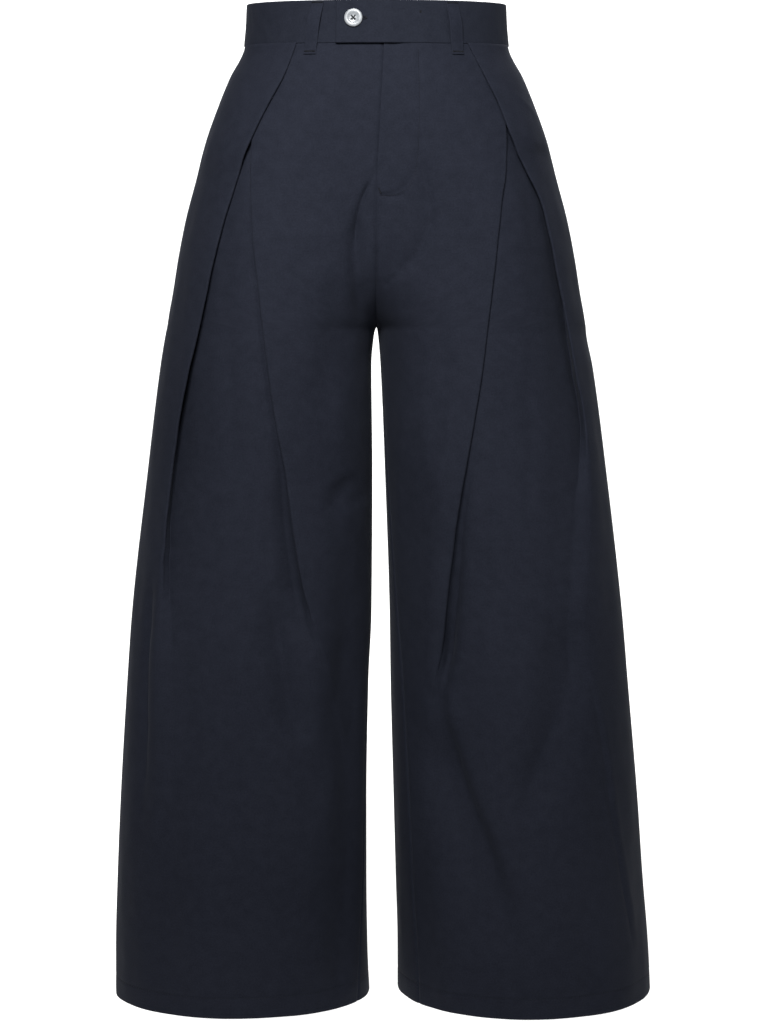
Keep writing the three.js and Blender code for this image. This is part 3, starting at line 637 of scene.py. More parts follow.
@dataclass
class Surface:
    """Points in millimetres with four- and three-cornered faces, and a place on the cloth."""

    points: Array
    quads: NDArray[np.int64]
    triangles: NDArray[np.int64]
    cloth: Array

    @classmethod
    def joined(cls, parts: Sequence["Surface"]) -> "Surface":
        """Several surfaces as one.

        Args:
            parts: the surfaces, in order.

        Returns:
            One surface with all their points and faces.
        """
        starts = np.cumsum([0] + [len(part.points) for part in parts[:-1]])
        return cls(
            np.concatenate([part.points for part in parts]),
            np.concatenate([part.quads + s for part, s in zip(parts, starts)]),
            np.concatenate([part.triangles + s for part, s in zip(parts, starts)]),
            np.concatenate([part.cloth for part in parts]),
        )

    def corners(self) -> tuple[Array, Array, Array]:
        """The first, second and third corners of all triangles, with each quad cut in two."""
        faces = np.concatenate([self.quads[:, :3], self.quads[:, [0, 2, 3]], self.triangles])
        return self.points[faces[:, 0]], self.points[faces[:, 1]], self.points[faces[:, 2]]

    def volume(self) -> float:
        """Signed volume: a sixth of the sum of a . (b x c) over all triangles."""
        a, b, c = self.corners()
        return float((a * np.cross(b, c)).sum() / 6)

    def area(self) -> float:
        """Area of all faces in square metres: half the length of (b - a) x (c - a), summed."""
        a, b, c = self.corners()
        return float(np.linalg.norm(np.cross(b - a, c - a), axis=1).sum() / 2) * MM * MM

    def facing_out(self) -> "Surface":
        """The same closed surface with its faces turned outwards."""
        if self.volume() >= 0:
            return self
        return Surface(self.points, self.quads[:, ::-1], self.triangles[:, ::-1], self.cloth)

    def piece(self, name: str, material: bpy.types.Material) -> bpy.types.Object:
        """Writes the surface as a Blender object at the origin.

        Args:
            name: the object's name.
            material: its finish.

        Returns:
            The object, linked to the scene.
        """
        mesh = bpy.data.meshes.new(name)
        corners = np.concatenate([self.quads.ravel(), self.triangles.ravel()]).astype(np.int32)
        sizes = np.repeat([4, 3], [len(self.quads), len(self.triangles)]).astype(np.int32)
        mesh.vertices.add(len(self.points))
        mesh.vertices.foreach_set("co", (self.points * MM).astype(np.float32).ravel())
        mesh.loops.add(len(corners))
        mesh.loops.foreach_set("vertex_index", corners)
        mesh.polygons.add(len(sizes))
        mesh.polygons.foreach_set("loop_start", (np.cumsum(sizes) - sizes).astype(np.int32))
        mesh.polygons.foreach_set("loop_total", sizes)
        mesh.polygons.foreach_set("use_smooth", np.ones(len(sizes), bool))
        layer = mesh.uv_layers.new(name="cloth")
        layer.uv.foreach_set("vector", (self.cloth[corners] * MM).astype(np.float32).ravel())
        mesh.update(calc_edges=True)
        mesh.materials.append(material)
        made = bpy.data.objects.new(name, mesh)
        bpy.context.collection.objects.link(made)
        return made


NO_TRIANGLES = np.zeros((0, 3), np.int64)


def cells(index: NDArray[np.int64]) -> NDArray[np.int64]:
    """Four-cornered faces between the points of a numbered grid."""
    corners = [index[:-1, :-1], index[1:, :-1], index[1:, 1:], index[:-1, 1:]]
    return np.stack(corners, -1).reshape(-1, 4)


def ring_cells(index: NDArray[np.int64]) -> NDArray[np.int64]:
    """Four-cornered faces between numbered rings that are closed on themselves."""
    ahead = np.roll(index, -1, axis=1)
    return np.stack([index[:-1], ahead[:-1], ahead[1:], index[1:]], -1).reshape(-1, 4)


def normals_of(grid: Array) -> Array:
    """Unit normals of a grid of points: the step down its rows crossed with the step across.

    Args:
        grid: rows by columns by three.

    Returns:
        One normal for each point.
    """
    padded = np.pad(grid, ((1, 1), (1, 1), (0, 0)), mode="edge")
    across = padded[1:-1, 2:] - padded[1:-1, :-2]
    down = padded[2:, 1:-1] - padded[:-2, 1:-1]
    return unit(np.cross(down, across))


def shell(grid: Array, outside: Array | float, inside: Array | float, flip: bool) -> Surface:
    """Cloth of some thickness on a grid of points: two skins and the rim that joins them.

    Args:
        grid: rows by columns by three, with the rows running down.
        outside: how far the outer skin lies out from the grid.
        inside: how far the inner skin lies in.
        flip: True where the columns run to the wearer's right.

    Returns:
        A closed surface, laid out on the cloth by length along the columns and the rows.
    """
    rows, columns = grid.shape[:2]
    normal = normals_of(grid) * (-1 if flip else 1)
    out, within = (np.broadcast_to(far, (rows, columns))[..., None] for far in (outside, inside))
    skins = np.concatenate([grid + normal * out, grid - normal * within]).reshape(-1, 3)
    index = np.arange(rows * columns).reshape(rows, columns)
    outer = cells(index)
    inner = outer[:, ::-1] + rows * columns
    loop = np.concatenate([index[0], index[1:, -1], index[-1, -2::-1], index[-2:0:-1, 0]])
    ahead = np.roll(loop, -1)
    rim = np.stack([loop, ahead, ahead + rows * columns, loop + rows * columns], -1)
    step = np.linalg.norm(np.diff(grid, axis=1), axis=2)
    along = np.concatenate([np.zeros((rows, 1)), np.cumsum(step, axis=1)], axis=1)
    fall = np.concatenate([[0], np.cumsum(np.linalg.norm(np.diff(grid, axis=0), axis=2).mean(1))])
    cloth = np.stack([along, np.broadcast_to(-fall[:, None], along.shape)], -1).reshape(-1, 2)
    quads = np.concatenate([outer, inner, rim])
    return Surface(skins, quads, NO_TRIANGLES, np.concatenate([cloth, cloth])).facing_out()


def tube(rings: Array) -> Surface:
    """Closed rings of points joined in order, with a fan of triangles at each end.

    Args:
        rings: rings by points by three, with each ring closed on itself.

    Returns:
        A closed surface.
    """
    count, around = rings.shape[:2]
    index = np.arange(count * around).reshape(count, around)
    ahead = np.roll(index, -1, axis=1)
    ends = np.stack([rings[0].mean(0), rings[-1].mean(0)])
    first = np.stack([np.full(around, count * around), ahead[0], index[0]], -1)
    last = np.stack([np.full(around, count * around + 1), index[-1], ahead[-1]], -1)
    run, girth = reach_along(rings.mean(1)), reach_along(rings[count // 2])
    cloth = np.stack(np.meshgrid(girth, run), -1).reshape(-1, 2)
    cloth = np.concatenate([cloth, [[0, run[0]], [0, run[-1]]]])
    points = np.concatenate([rings.reshape(-1, 3), ends])
    return Surface(points, ring_cells(index), np.concatenate([first, last]), cloth).facing_out()


def along_path(path: Array, radius: Array | float, sides: int = 8) -> Surface:
    """A round cord along a path: each ring lies square to the path.

    Args:
        path: points by three.
        radius: one radius, or one for each point.
        sides: corners of each ring.

    Returns:
        A closed surface.
    """
    heading = unit(np.gradient(path, axis=0))
    least = np.eye(3)[np.argmin(np.abs(heading).max(0))]
    right = unit(np.cross(heading, least))
    up = np.cross(right, heading)
    turn = full_turn(sides)
    size = np.broadcast_to(np.asarray(radius, float), (len(path),))[:, None, None]
    ring = np.cos(turn)[None, :, None] * right[:, None] + np.sin(turn)[None, :, None] * up[:, None]
    return tube(path[:, None] + size * ring)


@dataclass(frozen=True)
class Stitches:
    """Even stitches of sewing thread, each a short rounded grain lying on the cloth."""

    length: float = 2.3
    pitch: float = 3.0
    radius: float = 0.23
    sides: int = 5

    def grains(self, at: Array, ahead: Array, normal: Array) -> Surface:
        """One grain at each place: four rings along it, thin at both ends.

        Args:
            at: middles of the grains.
            ahead: unit directions along them.
            normal: unit directions out of the cloth.

        Returns:
            All grains as one surface.
        """
        side = np.cross(normal, ahead)
        turn = full_turn(self.sides)
        share = np.array([-1.0, -0.7, 0.7, 1.0])
        width = np.array([0.35, 1.0, 1.0, 0.35]) * self.radius
        sunk = np.array([-0.7, 0.0, 0.0, -0.7]) * self.radius
        local = np.stack(
            [
                np.broadcast_to((share * self.length / 2)[:, None], (4, self.sides)),
                width[:, None] * np.cos(turn),
                width[:, None] * np.sin(turn) * 0.8 + sunk[:, None],
            ],
            -1,
        ).reshape(-1, 3)
        frames = np.stack([ahead, side, normal], 1)
        points = at[:, None] + np.einsum("kc,ncd->nkd", local, frames)
        quads = ring_cells(np.arange(4 * self.sides).reshape(4, self.sides))
        fan = np.arange(1, self.sides - 1)
        low = np.stack([np.zeros_like(fan), fan + 1, fan], -1)
        high = np.stack([np.zeros_like(fan), fan, fan + 1], -1) + 3 * self.sides
        shift = (np.arange(len(at)) * 4 * self.sides)[:, None, None]
        flat = points.reshape(-1, 3)
        return Surface(
            flat,
            (quads[None] + shift).reshape(-1, 4),
            (np.concatenate([low, high])[None] + shift).reshape(-1, 3),
            flat[:, [0, 2]],
        ).facing_out()

    def row(self, line: Array, normal: Array) -> Surface:
        """Stitches at an even pitch along a line of points on the cloth.

        Args:
            line: points on the cloth's face.
            normal: unit normals there.

        Returns:
            The row of stitches.
        """
        reach = reach_along(line)
        count = max(int(reach[-1] / self.pitch), 1)
        spots = (np.arange(count) + 0.5) * reach[-1] / count
        ahead = unit(sampled(line, reach, spots + 0.4) - sampled(line, reach, spots - 0.4))
        out = square_to(sampled(normal, reach, spots), ahead)
        return self.grains(sampled(line, reach, spots) + out * 0.3 * self.radius, ahead, out)


# Finishes


def opaque(colour: Colour) -> tuple[float, float, float, float]:
    """A colour with full cover."""
    return (*colour, 1.0)


class Sketch:
    """A material's nodes, with its shader and output in place."""

    def __init__(self, name: str) -> None:
        """Starts a material with an empty Principled shader."""
        self.material = bpy.data.materials.new(name)
        self.material.use_nodes = True
        self.tree = self.material.node_tree
        self.tree.nodes.clear()
        self.shader = self.tree.nodes.new("ShaderNodeBsdfPrincipled")
        output = self.tree.nodes.new("ShaderNodeOutputMaterial")
        self.tree.links.new(self.shader.outputs[0], output.inputs[0])

    def node(self, kind: str, links: dict | None = None, **settings: object) -> bpy.types.Node:
        """Adds a node.

        Args:
            kind: its type, without the words ShaderNode.
            links: socket name or number to the socket or the value that feeds it.
            settings: the node's own properties.

        Returns:
            The node.
        """
        made = self.tree.nodes.new("ShaderNode" + kind)
        for key, value in settings.items():
            setattr(made, key, value)
        for key, value in (links or {}).items():
            if isinstance(value, bpy.types.NodeSocket):
                self.tree.links.new(value, made.inputs[key])
            else:
                made.inputs[key].default_value = value
        return made

    def math(self, operation: str, *values: object) -> bpy.types.NodeSocket:
        """Adds a Math node and gives its output."""
        return self.node("Math", dict(enumerate(values)), operation=operation).outputs[0]

    def place(self) -> bpy.types.NodeSocket:
        """Adds the place in the object, in metres."""
        return self.node("TexCoord").outputs["Object"]

    def noise(self, place: bpy.types.NodeSocket, scale: float, **more: float) -> bpy.types.NodeSocket:
        """Adds a noise of a given scale, with its other sockets by name."""
        return self.node("TexNoise", {"Vector": place, "Scale": scale, **more}).outputs[0]

    def stretched(self, value: bpy.types.NodeSocket, low: float, high: float) -> bpy.types.NodeSocket:
        """Adds a Map Range node that takes low to 0 and high to 1."""
        return self.node("MapRange", {0: value, 1: low, 2: high}).outputs[0]

    def mixed(self, share: bpy.types.NodeSocket, low: Colour, high: Colour) -> bpy.types.NodeSocket:
        """Adds a mix of two colours."""
        links = {0: share, 6: opaque(low), 7: opaque(high)}
        return self.node("Mix", links, data_type="RGBA").outputs[2]

    def bump(self, height: bpy.types.NodeSocket, strength: float, deep: float) -> bpy.types.NodeSocket:
        """Adds a bump of a given strength, deep metres from low to high."""
        return self.node("Bump", {"Strength": strength, "Distance": deep, "Height": height}).outputs[0]

    def feed(self, **values: object) -> None:
        """Sets or links the shader's sockets; an underscore stands for a space in their names."""
        for key, value in values.items():
            socket = self.shader.inputs[key.replace("_", " ")]
            if isinstance(value, bpy.types.NodeSocket):
                self.tree.links.new(value, socket)
            else:
                socket.default_value = value


@dataclass(frozen=True)
class Suiting:
    """Smooth, fine worsted twill with a faint sheen.

    The scales of yarn, wool and cloud are those of their noises, for each metre.
    """

    name: str
    deep: Colour
    pale: Colour
    twill: float = 0.0011
    yarn_scale: float = 620.0
    wool_scale: float = 95.0
    cloud_scale: float = 5.5
    rough: float = 0.84
    sheen: float = 0.02
    relief: float = 0.30

    def material(self) -> bpy.types.Material:
        """Twill lines at 63 degrees on the cloth's own layout, uneven yarn and soft clouding.

        Height is 0.3 sin(2 pi (2u + v) / (2.2 twill)) of the layout, plus 0.9 of the yarn's noise.

        Returns:
            The material.
        """
        s = Sketch(self.name)
        layout = s.node("UVMap", uv_map="cloth").outputs[0]
        parts = s.node("SeparateXYZ", {0: layout})
        slant = s.math("MULTIPLY_ADD", parts.outputs[0], 2.0, parts.outputs[1])
        lines = s.math("SINE", s.math("MULTIPLY", slant, 2 * math.pi / self.twill / 2.2))
        yarn = s.noise(layout, self.yarn_scale, Detail=3.0, Roughness=0.6)
        wool = s.noise(layout, self.wool_scale, Detail=4.0, Roughness=0.62)
        cloud = s.noise(s.place(), self.cloud_scale, Detail=3.0, Roughness=0.5)
        fibre = s.math("MULTIPLY_ADD", yarn, 0.5, s.math("MULTIPLY", wool, 0.3))
        tone = s.math("ADD", fibre, s.math("MULTIPLY", cloud, 0.22))
        height = s.math("MULTIPLY_ADD", lines, 0.30, s.math("MULTIPLY", yarn, 0.9))
        s.feed(
            Base_Color=s.mixed(s.stretched(tone, 0.38, 0.64), self.deep, self.pale),
            Roughness=s.math("MULTIPLY_ADD", wool, 0.12, self.rough - 0.06),
            Normal=s.bump(height, self.relief, 0.0003),
            Specular_IOR_Level=0.06,
            Sheen_Weight=self.sheen,
            Sheen_Roughness=0.45,
            Sheen_Tint=opaque((0.75, 0.82, 1.0)),
        )
        return s.material


@dataclass(frozen=True)
class Thread:
    """Polyester sewing thread, twisted."""

    name: str
    colour: Colour

    def material(self) -> bpy.types.Material:
        """Fine diagonal ply: a wave over the place in the object.

        Returns:
            The material.
        """
        s = Sketch(self.name)
        wave = {"Vector": s.place(), "Scale": 420.0, "Distortion": 1.2}
        ply = s.node("TexWave", wave, bands_direction="DIAGONAL").outputs[1]
        s.feed(
            Base_Color=s.mixed(ply, tuple(0.7 * c for c in self.colour), self.colour),
            Roughness=0.7,
            Normal=s.bump(ply, 0.3, 0.0002),
            Specular_IOR_Level=0.15,
        )
        return s.material


@dataclass(frozen=True)
class ButtonPlastic:
    """Pale grey polyester button with faint pearly clouds."""

    name: str
    pale: Colour
    smoky: Colour

    def material(self) -> bpy.types.Material:
        """Clouds mixed between two greys, and a fine grain in the roughness.

        Returns:
            The material.
        """
        s = Sketch(self.name)
        cloud = s.noise(s.place(), 230.0, Detail=4.0, Distortion=1.4)
        grain = s.noise(s.place(), 900.0, Detail=2.0)
        s.feed(
            Base_Color=s.mixed(s.stretched(cloud, 0.38, 0.68), self.pale, self.smoky),
            Roughness=s.math("MULTIPLY_ADD", grain, 0.12, 0.24),
            Coat_Weight=0.35,
            Coat_Roughness=0.12,
        )
        return s.material


@dataclass(frozen=True)
class Paper:
    """Seamless white studio paper."""

    name: str
    tone: float
    glow: float

    def material(self) -> bpy.types.Material:
        """White with a slight grain and a glow that keeps it even.

        Returns:
            The material.
        """
        s = Sketch(self.name)
        s.feed(
            Base_Color=opaque((self.tone,) * 3),
            Roughness=s.math("MULTIPLY_ADD", s.noise(s.place(), 40.0, Detail=3.0), 0.1, 0.85),
            Emission_Color=opaque((1.0, 1.0, 1.0)),
            Emission_Strength=self.glow,
        )
        return s.material


@dataclass
class Finishes:
    """The finishes that the pieces share."""

    cloth: bpy.types.Material
    band: bpy.types.Material
    thread: bpy.types.Material
    dark_thread: bpy.types.Material
    button: bpy.types.Material
    tape: bpy.types.Material
    teeth: bpy.types.Material

    @classmethod
    def made(cls) -> "Finishes":
        """Makes every finish once, in the order of the fields.

        Returns:
            The finishes.
        """
        recipes = (
            Suiting("navy suiting", (0.0073, 0.0086, 0.0139), (0.0133, 0.0152, 0.0232)),
            Suiting("navy suiting on the band", (0.0070, 0.0083, 0.0133), (0.0127, 0.0146, 0.0219)),
            Thread("navy thread", (0.0062, 0.0072, 0.0112)),
            Thread("dark thread", (0.0040, 0.0045, 0.0062)),
            ButtonPlastic("pale grey button", (0.27, 0.285, 0.30), (0.17, 0.18, 0.19)),
            Suiting("zip tape", (0.012, 0.014, 0.020), (0.020, 0.023, 0.030), twill=0.0018, sheen=0.1),
            ButtonPlastic("zip teeth", (0.030, 0.033, 0.040), (0.020, 0.022, 0.028)),
        )
        return cls(*(recipe.material() for recipe in recipes))


def settle(piece: bpy.types.Object, slot: str, *nodes: str) -> bpy.types.Object:
    """Makes a piece ride on the garment, logs its slot and hides the solids it stands for.

    Args:
        piece: the piece.
        slot: the record's material slot.
        nodes: names of the solids.

    Returns:
        The same piece.
    """
    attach(piece, BODY)
    if nodes:
        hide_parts(*nodes)
    triangles = sum(len(p.vertices) - 2 for p in piece.data.polygons)
    log.info("%s: %d triangles, slot %s, for %s", piece.name, triangles, slot, ", ".join(nodes) or "no solid")
    return piece


# Panels


@dataclass
class Panel:
    """What the front and back of a half share: its rows, its hem and its cloth.

    The rows lie at even heights in each of stretches, which states its lower end and its
    number of rows; the rest of them run on from there to the hem's stitching.
    """

    half: Half
    kind: str = ""
    flat: tuple[float, float] = (0.0, 0.0)
    flat_area: float = 0.0
    cloth: float = 0.9
    hem_depth: float = 20.0
    hem_ply: float = 1.0
    hem_pull: float = 0.35
    hem_pull_width: float = 1.3
    top: float = -20.2
    groove: float = 0.8
    groove_width: float = 2.0
    rows: int = 228
    stretches: tuple[tuple[float, int], ...] = ((-166.0, 47), (-184.0, 14), (-310.0, 41))

    @property
    def hem(self) -> float:
        """Height of the hem's edge."""
        return HEM_Z[self.half]

    def heights(self) -> Array:
        """Heights of all rows, close together at the hem's stitching and edge.

        Returns:
            The heights, from the top down.
        """
        stitching = self.hem + self.hem_depth
        start, left, body = self.top, self.rows, []
        for end, count in self.stretches:
            body.append(np.linspace(start, end, count, endpoint=False))
            start, left = end, left - count
        body.append(np.linspace(start, stitching + 2.2, left))
        turn = stitching + np.array([1.0, 0.3, -0.3, -1.0])
        low = np.linspace(stitching - 3, self.hem + 1.6, 7)
        return np.concatenate([*body, turn, low, self.hem + np.array([0.9, 0.35, 0.0])])

    def skins(self, z: Array) -> tuple[Array, Array]:
        """How far both skins lie from the grid: the turned-up hem thickens the inner one.

        Args:
            z: heights of the rows.

        Returns:
            Outer and inner distances, one a row.
        """
        edge = 0.35 * (1 - ease(z, self.hem - 0.1, self.hem + 1.3))
        turned = self.hem_ply * (z < self.hem + self.hem_depth)
        outside = self.cloth / 2 - edge
        inside = self.cloth / 2 + turned - edge
        return outside[:, None], inside[:, None]

    def hem_groove(self, z: Array) -> Array:
        """How far the hem's stitching pulls the cloth in: a narrow trough along it."""
        away = z - self.hem - self.hem_depth
        return -self.hem_pull * np.exp(-((away / self.hem_pull_width) ** 2))

    def seam(self, away: Array) -> Array:
        """How far a seam draws the cloth in, at a distance from it."""
        return -self.groove * np.exp(-((away / self.groove_width) ** 2))

    def centre_seam(self, away: Array, facing: Array, z: Array) -> Array:
        """How far the centre seam and the inseam draw the cloth in.

        Args:
            away: distance from the seam.
            facing: 1 where the cloth faces straight to the front or the back, 0 at the side.
            z: heights. Above the crotch the seam fades where the cloth turns to the side.

        Returns:
            The offsets.
        """
        return self.seam(away) * np.where(z >= CROTCH_Z, ease(facing, 0.45, 0.95), 1.0)

    def loose(self, away: Array, z: Array) -> Array:
        """Share of the cloth's unevenness that is left at a distance from the centre or inseam."""
        return ease(away, 0, mix(12, 34, ease(-z, 300, 360)))

    def grid(self, z: Array) -> Array:
        """The middle surface at heights z, which each kind of panel works out."""
        raise NotImplementedError

    def hem_stitches(self, grid: Array, z: Array) -> Surface:
        """Stitches along the row of the grid that lies at the hem's depth.

        Args:
            grid: the panel's middle surface.
            z: heights of its rows.

        Returns:
            The stitches.
        """
        row = int(np.argmin(np.abs(z - (self.hem + self.hem_depth - 0.3))))
        out = normals_of(grid)[row] * (-1 if self.flipped else 1)
        return Stitches().row(grid[row] + out * self.cloth / 2, out)

    @property
    def flipped(self) -> bool:
        """True where the columns run to the wearer's right."""
        return self.half is Half.RIGHT

    def build(self, finishes: Finishes) -> list[bpy.types.Object]:
        """Makes the panel and its hem stitches.

        Args:
            finishes: the shared finishes.

        Returns:
            Both pieces.
        """
        z, label = self.heights(), self.half.label
        grid = self.grid(z)
        made = shell(grid, *self.skins(z), self.flipped)
        log.info("%s %s: area of one face %.4f m2", label, self.kind, made.area() / 2)
        panel = settle(made.piece(f"{label}_{self.kind}", finishes.cloth), "cloth", f"{self.kind}_{label}")
        hem = self.hem_stitches(grid, z).piece(f"{label}_{self.kind}_hem_stitches", finishes.thread)
        settle(hem, "cloth")
        return [panel, hem]


@dataclass
class FrontPanel(Panel):
    """A front, folded at two edges so that a deep inverted pleat opens towards the hem.

    The cloth runs from the centre seam out to the middle edge, back under it, out again as
    the underlay, back under the side panel and out along that to the side seam. Where the
    pleat's edges run out, it changes over to one soft layer with as many columns: from the
    centre to the hollow, down into it, along it, up out of it and on to the side seam.
    """

    kind: str = "front"
    flat: tuple[float, float] = (0.40, 0.965)
    flat_area: float = 0.34
    layer: float = 2.1
    layer_at_band: float = 1.1
    step_width: float = 16.0
    underlap: float = 8.0
    fly_lift: float = 0.75
    fly_sink: float = 1.5
    crowd: float = 1.35
    middle_columns: int = 58
    side_columns: int = 36
    over_columns: int = 10
    edge_columns: int = 7
    tuck_columns: int = 6
    tuck_edge_columns: int = 5
    floor_columns: int = 40
    return_columns: int = 8
    soft_columns: tuple[int, ...] = (62, 31, 40, 31, 36)
    crisp_change: tuple[float, float] = (96.0, 130.0)

    def pleat(self, name: str, z: Array) -> Array:
        """A size of the pleat at heights z."""
        return PLEATS[self.half].at(name, z)

    def start(self, rings: Rings) -> tuple[Array, Array]:
        """Angles of the fly's edge or the centre seam, and of the cloth's own first column.

        Args:
            rings: the sections.

        Returns:
            The edge that shows, and the start of the cloth, which on the right half runs on
            under the left one above the fly's end.
        """
        shown = self.half.value * FLY.at("edge", rings.z) - SEAM_LAP
        reach = self.underlap if self.half is Half.RIGHT else 0.0
        under = reach * ease(rings.z, FLY_END_Z - 2, FLY_END_Z + 10)
        legs = rings.inseam - SEAM_LAP * rings.per_mm(rings.inseam)
        hips = rings.z >= CROTCH_Z
        return (
            np.where(hips, rings.angle_at(shown), legs),
            np.where(hips, rings.angle_at(shown - under), legs),
        )

    @staticmethod
    def turn(
        edge: Array, high: Array, low: Array, way: int, per: Array, count: int
    ) -> tuple[Array, Array]:
        """Half circle of cloth from one layer to the next: radius |high - low| / 2.

        Args:
            edge: angle of the fold's outermost line.
            high: offset of the layer that it leaves.
            low: offset of the layer that it reaches.
            way: 1 where the edge points away from the centre front, -1 where towards it.
            per: degrees a millimetre.
            count: points on the half circle.

        Returns:
            Angles and offsets.
        """
        swing = np.linspace(0, np.pi, count + 2)[1:-1]
        radius = np.abs(high - low) / 2
        angle = edge + way * radius * (np.sin(swing) - 1) * per
        return angle, (high + low) / 2 + np.cos(swing) * (high - low) / 2

    def stations(self, rings: Rings) -> tuple[Array, Array, Array]:
        """Angles and offsets of every column, from the centre seam to the side seam.

        Args:
            rings: the sections.

        Returns:
            Angles, offsets, and the angle of the edge that shows at the centre front.
        """
        z = rings.z
        layer = mix(self.layer_at_band, self.layer, ease(-z, 26, 80))
        shown, start = self.start(rings)
        middle = rings.angle_at(self.pleat("middle", z))
        side = rings.angle_at(self.pleat("side", z))
        per_middle, per_side = rings.per_mm(middle), rings.per_mm(side)
        lift = 2 * layer * (1 - ease((side - middle) / per_side, 4, 16))
        valley = self.pleat("valley", z)
        radius = layer / 2
        middle_back = middle - (self.pleat("tuck_middle", z) + 2 * radius) * per_middle
        side_back = side + (self.pleat("tuck", z) + 2 * radius) * per_side
        seam = SIDE_SEAM + SEAM_LAP * rings.per_mm(np.full_like(z, SIDE_SEAM))
        zero = np.zeros_like(z)

        def flat(angles: Array, offset: Array) -> tuple[Array, Array]:
            """A stretch of cloth at one offset in each row."""
            return angles, np.broadcast_to(offset, angles.shape)

        in_middle, in_back = middle - radius * per_middle, middle_back + radius * per_middle
        out_side, out_back = side + radius * per_side, side_back - radius * per_side
        tucked = between(in_back, in_middle, self.tuck_columns)
        open_floor = between(in_middle, out_back, self.floor_columns, first=False)
        underlay = np.concatenate([tucked, open_floor], axis=1)
        bottom = ease(underlay, middle, np.maximum(side, middle + 1))
        beside = np.maximum(underlay - middle, -4 * per_middle) / per_middle
        dips = DIPS[self.half]
        dip = dips.at("depth", z) * np.exp(-((beside / dips.at("width", z)) ** 2))
        floor = mix(-2 * layer, -np.maximum(valley, 2 * layer), bottom) - dip * ease(beside, -3.0, 0.5)
        back = floor[:, -1:]
        return_end = mix(back + layer, lift - layer, lift / (2 * layer))
        homeward = (
            between(out_back, out_side, self.return_columns),
            between(return_end, lift - layer, self.return_columns),
        )
        folded = [
            flat(rings.evenly(start, middle_back, self.middle_columns, self.crowd), zero),
            flat(between(in_back, in_middle, self.over_columns), zero),
            self.turn(middle, zero, -layer, 1, per_middle, self.edge_columns),
            flat(between(in_middle, in_back, self.tuck_columns), -layer),
            self.turn(middle_back, -layer, -2 * layer, -1, per_middle, self.tuck_edge_columns),
            (underlay, floor),
            self.turn(side_back, back, return_end, 1, per_side, self.tuck_edge_columns),
            homeward,
            self.turn(side, lift - layer, lift, -1, per_side, self.edge_columns),
            flat(between(out_side, out_back, self.over_columns), lift),
            flat(between(out_back, seam, self.side_columns, first=False), lift),
        ]
        angle = np.concatenate([angles for angles, _ in folded], axis=1)
        offset = np.concatenate([offsets for _, offsets in folded], axis=1)
        top = self.over_columns + self.side_columns - 1
        offset[:, -top:] = lift * (1 - ease(angle[:, -top:], side_back, SIDE_SEAM - 4))

        middle_from = middle - 0.5 * self.step_width * per_middle
        middle_to = middle + 0.5 * self.step_width * per_middle
        side_from = side - self.step_width * per_side
        side_to = side + 0.4 * self.step_width * per_side
        shallow = -0.45 * np.minimum(2 * layer, valley) * ease(valley, 0, 4)
        to_middle, *further = self.soft_columns
        soft = [rings.evenly(start, middle_from, to_middle, self.crowd)]
        stops = (middle_from, middle_to, side_from, side_to, seam)
        for low, high, count in zip(stops, stops[1:], further):
            soft.append(between(low, high, count, first=False))
        soft_angle = np.concatenate(soft, axis=1)
        into = mix(0, shallow, ease(soft_angle, middle_from, middle_to))
        along = mix(shallow, -valley, ease(soft_angle, middle_to, side_from))
        out_of = -valley * (1 - ease(soft_angle, side_from, side_to))
        sunk = np.where(soft_angle > middle_to, along, into)
        soft_offset = np.where(soft_angle > side_from, out_of, sunk)
        towards_side = ease(np.arange(angle.shape[1]), *self.crisp_change)
        crisp = mix(self.pleat("crisp_middle", z), self.pleat("crisp", z), towards_side)
        return mix(soft_angle, angle, crisp), mix(soft_offset, offset, crisp), shown

    def grid(self, z: Array) -> Array:
        """The panel's middle surface: stations, folds, seams and fly on the sections.

        Args:
            z: heights of the rows.

        Returns:
            Rows by columns by three.
        """
        rings = Rings.of(self.half, z)
        angle, offset, shown = self.stations(rings)
        out = rings.out_at(angle)
        level = np.broadcast_to(rings.z, out.shape)
        past = (angle - shown) / rings.per_mm(angle)
        uneven = crumple(FRONT_FOLDS[self.half], out, level) + flutter(self.half, angle, level)
        offset = offset + uneven * self.loose(past, level) + self.hem_groove(level)
        offset = offset + self.seam((SIDE_SEAM - angle) / rings.per_mm(angle))
        fly = self.fly_share(level)
        facing = np.cos(np.radians(angle))
        offset = offset + self.centre_seam(past, facing, rings.z) * (1 - fly)
        if self.half is Half.RIGHT:
            offset = offset - self.fly_sink * (1 - ease(past, -1.0, 4.0)) * fly
        else:
            offset = offset + self.fly_edge(past) * fly + FlyStitching.trough().lift(out, level)
        return rings.point(angle, offset)

    @staticmethod
    def fly_share(z: Array) -> Array:
        """1 where the fly opens, and 0 below its end."""
        return ease(z, FLY_END_Z - 4, FLY_END_Z + 8)

    def fly_edge(self, past: Array) -> Array:
        """How far the fly's upper layer rises at a distance from its edge."""
        return self.fly_lift * (1 - ease(past, 0.0, 9.0))

    def face_at(self, out: Array, z: Array) -> tuple[Array, Array]:
        """Points and normals on the middle panel's face at places [out, z].

        Args:
            out: distances from the centre plane.
            z: heights.

        Returns:
            Points and unit normals.
        """

        def spot(distance: Array, height: Array) -> Array:
            """Points on the face, without the flutter."""
            at, away = Rings.of(self.half, height), distance.reshape(-1, 1)
            lift = crumple(FRONT_FOLDS[self.half], away, at.z) * ease(away, 0, 12)
            lift = lift + self.fly_edge(away - FLY.at("edge", at.z)) * self.fly_share(at.z)
            return at.point(at.angle_at(away), lift + self.cloth / 2)[:, 0]

        across = spot(out + 0.5, z) - spot(out - 0.5, z)
        down = spot(out, z - 0.5) - spot(out, z + 0.5)
        return spot(out, z), unit(np.cross(down, across) * (-1 if self.flipped else 1))


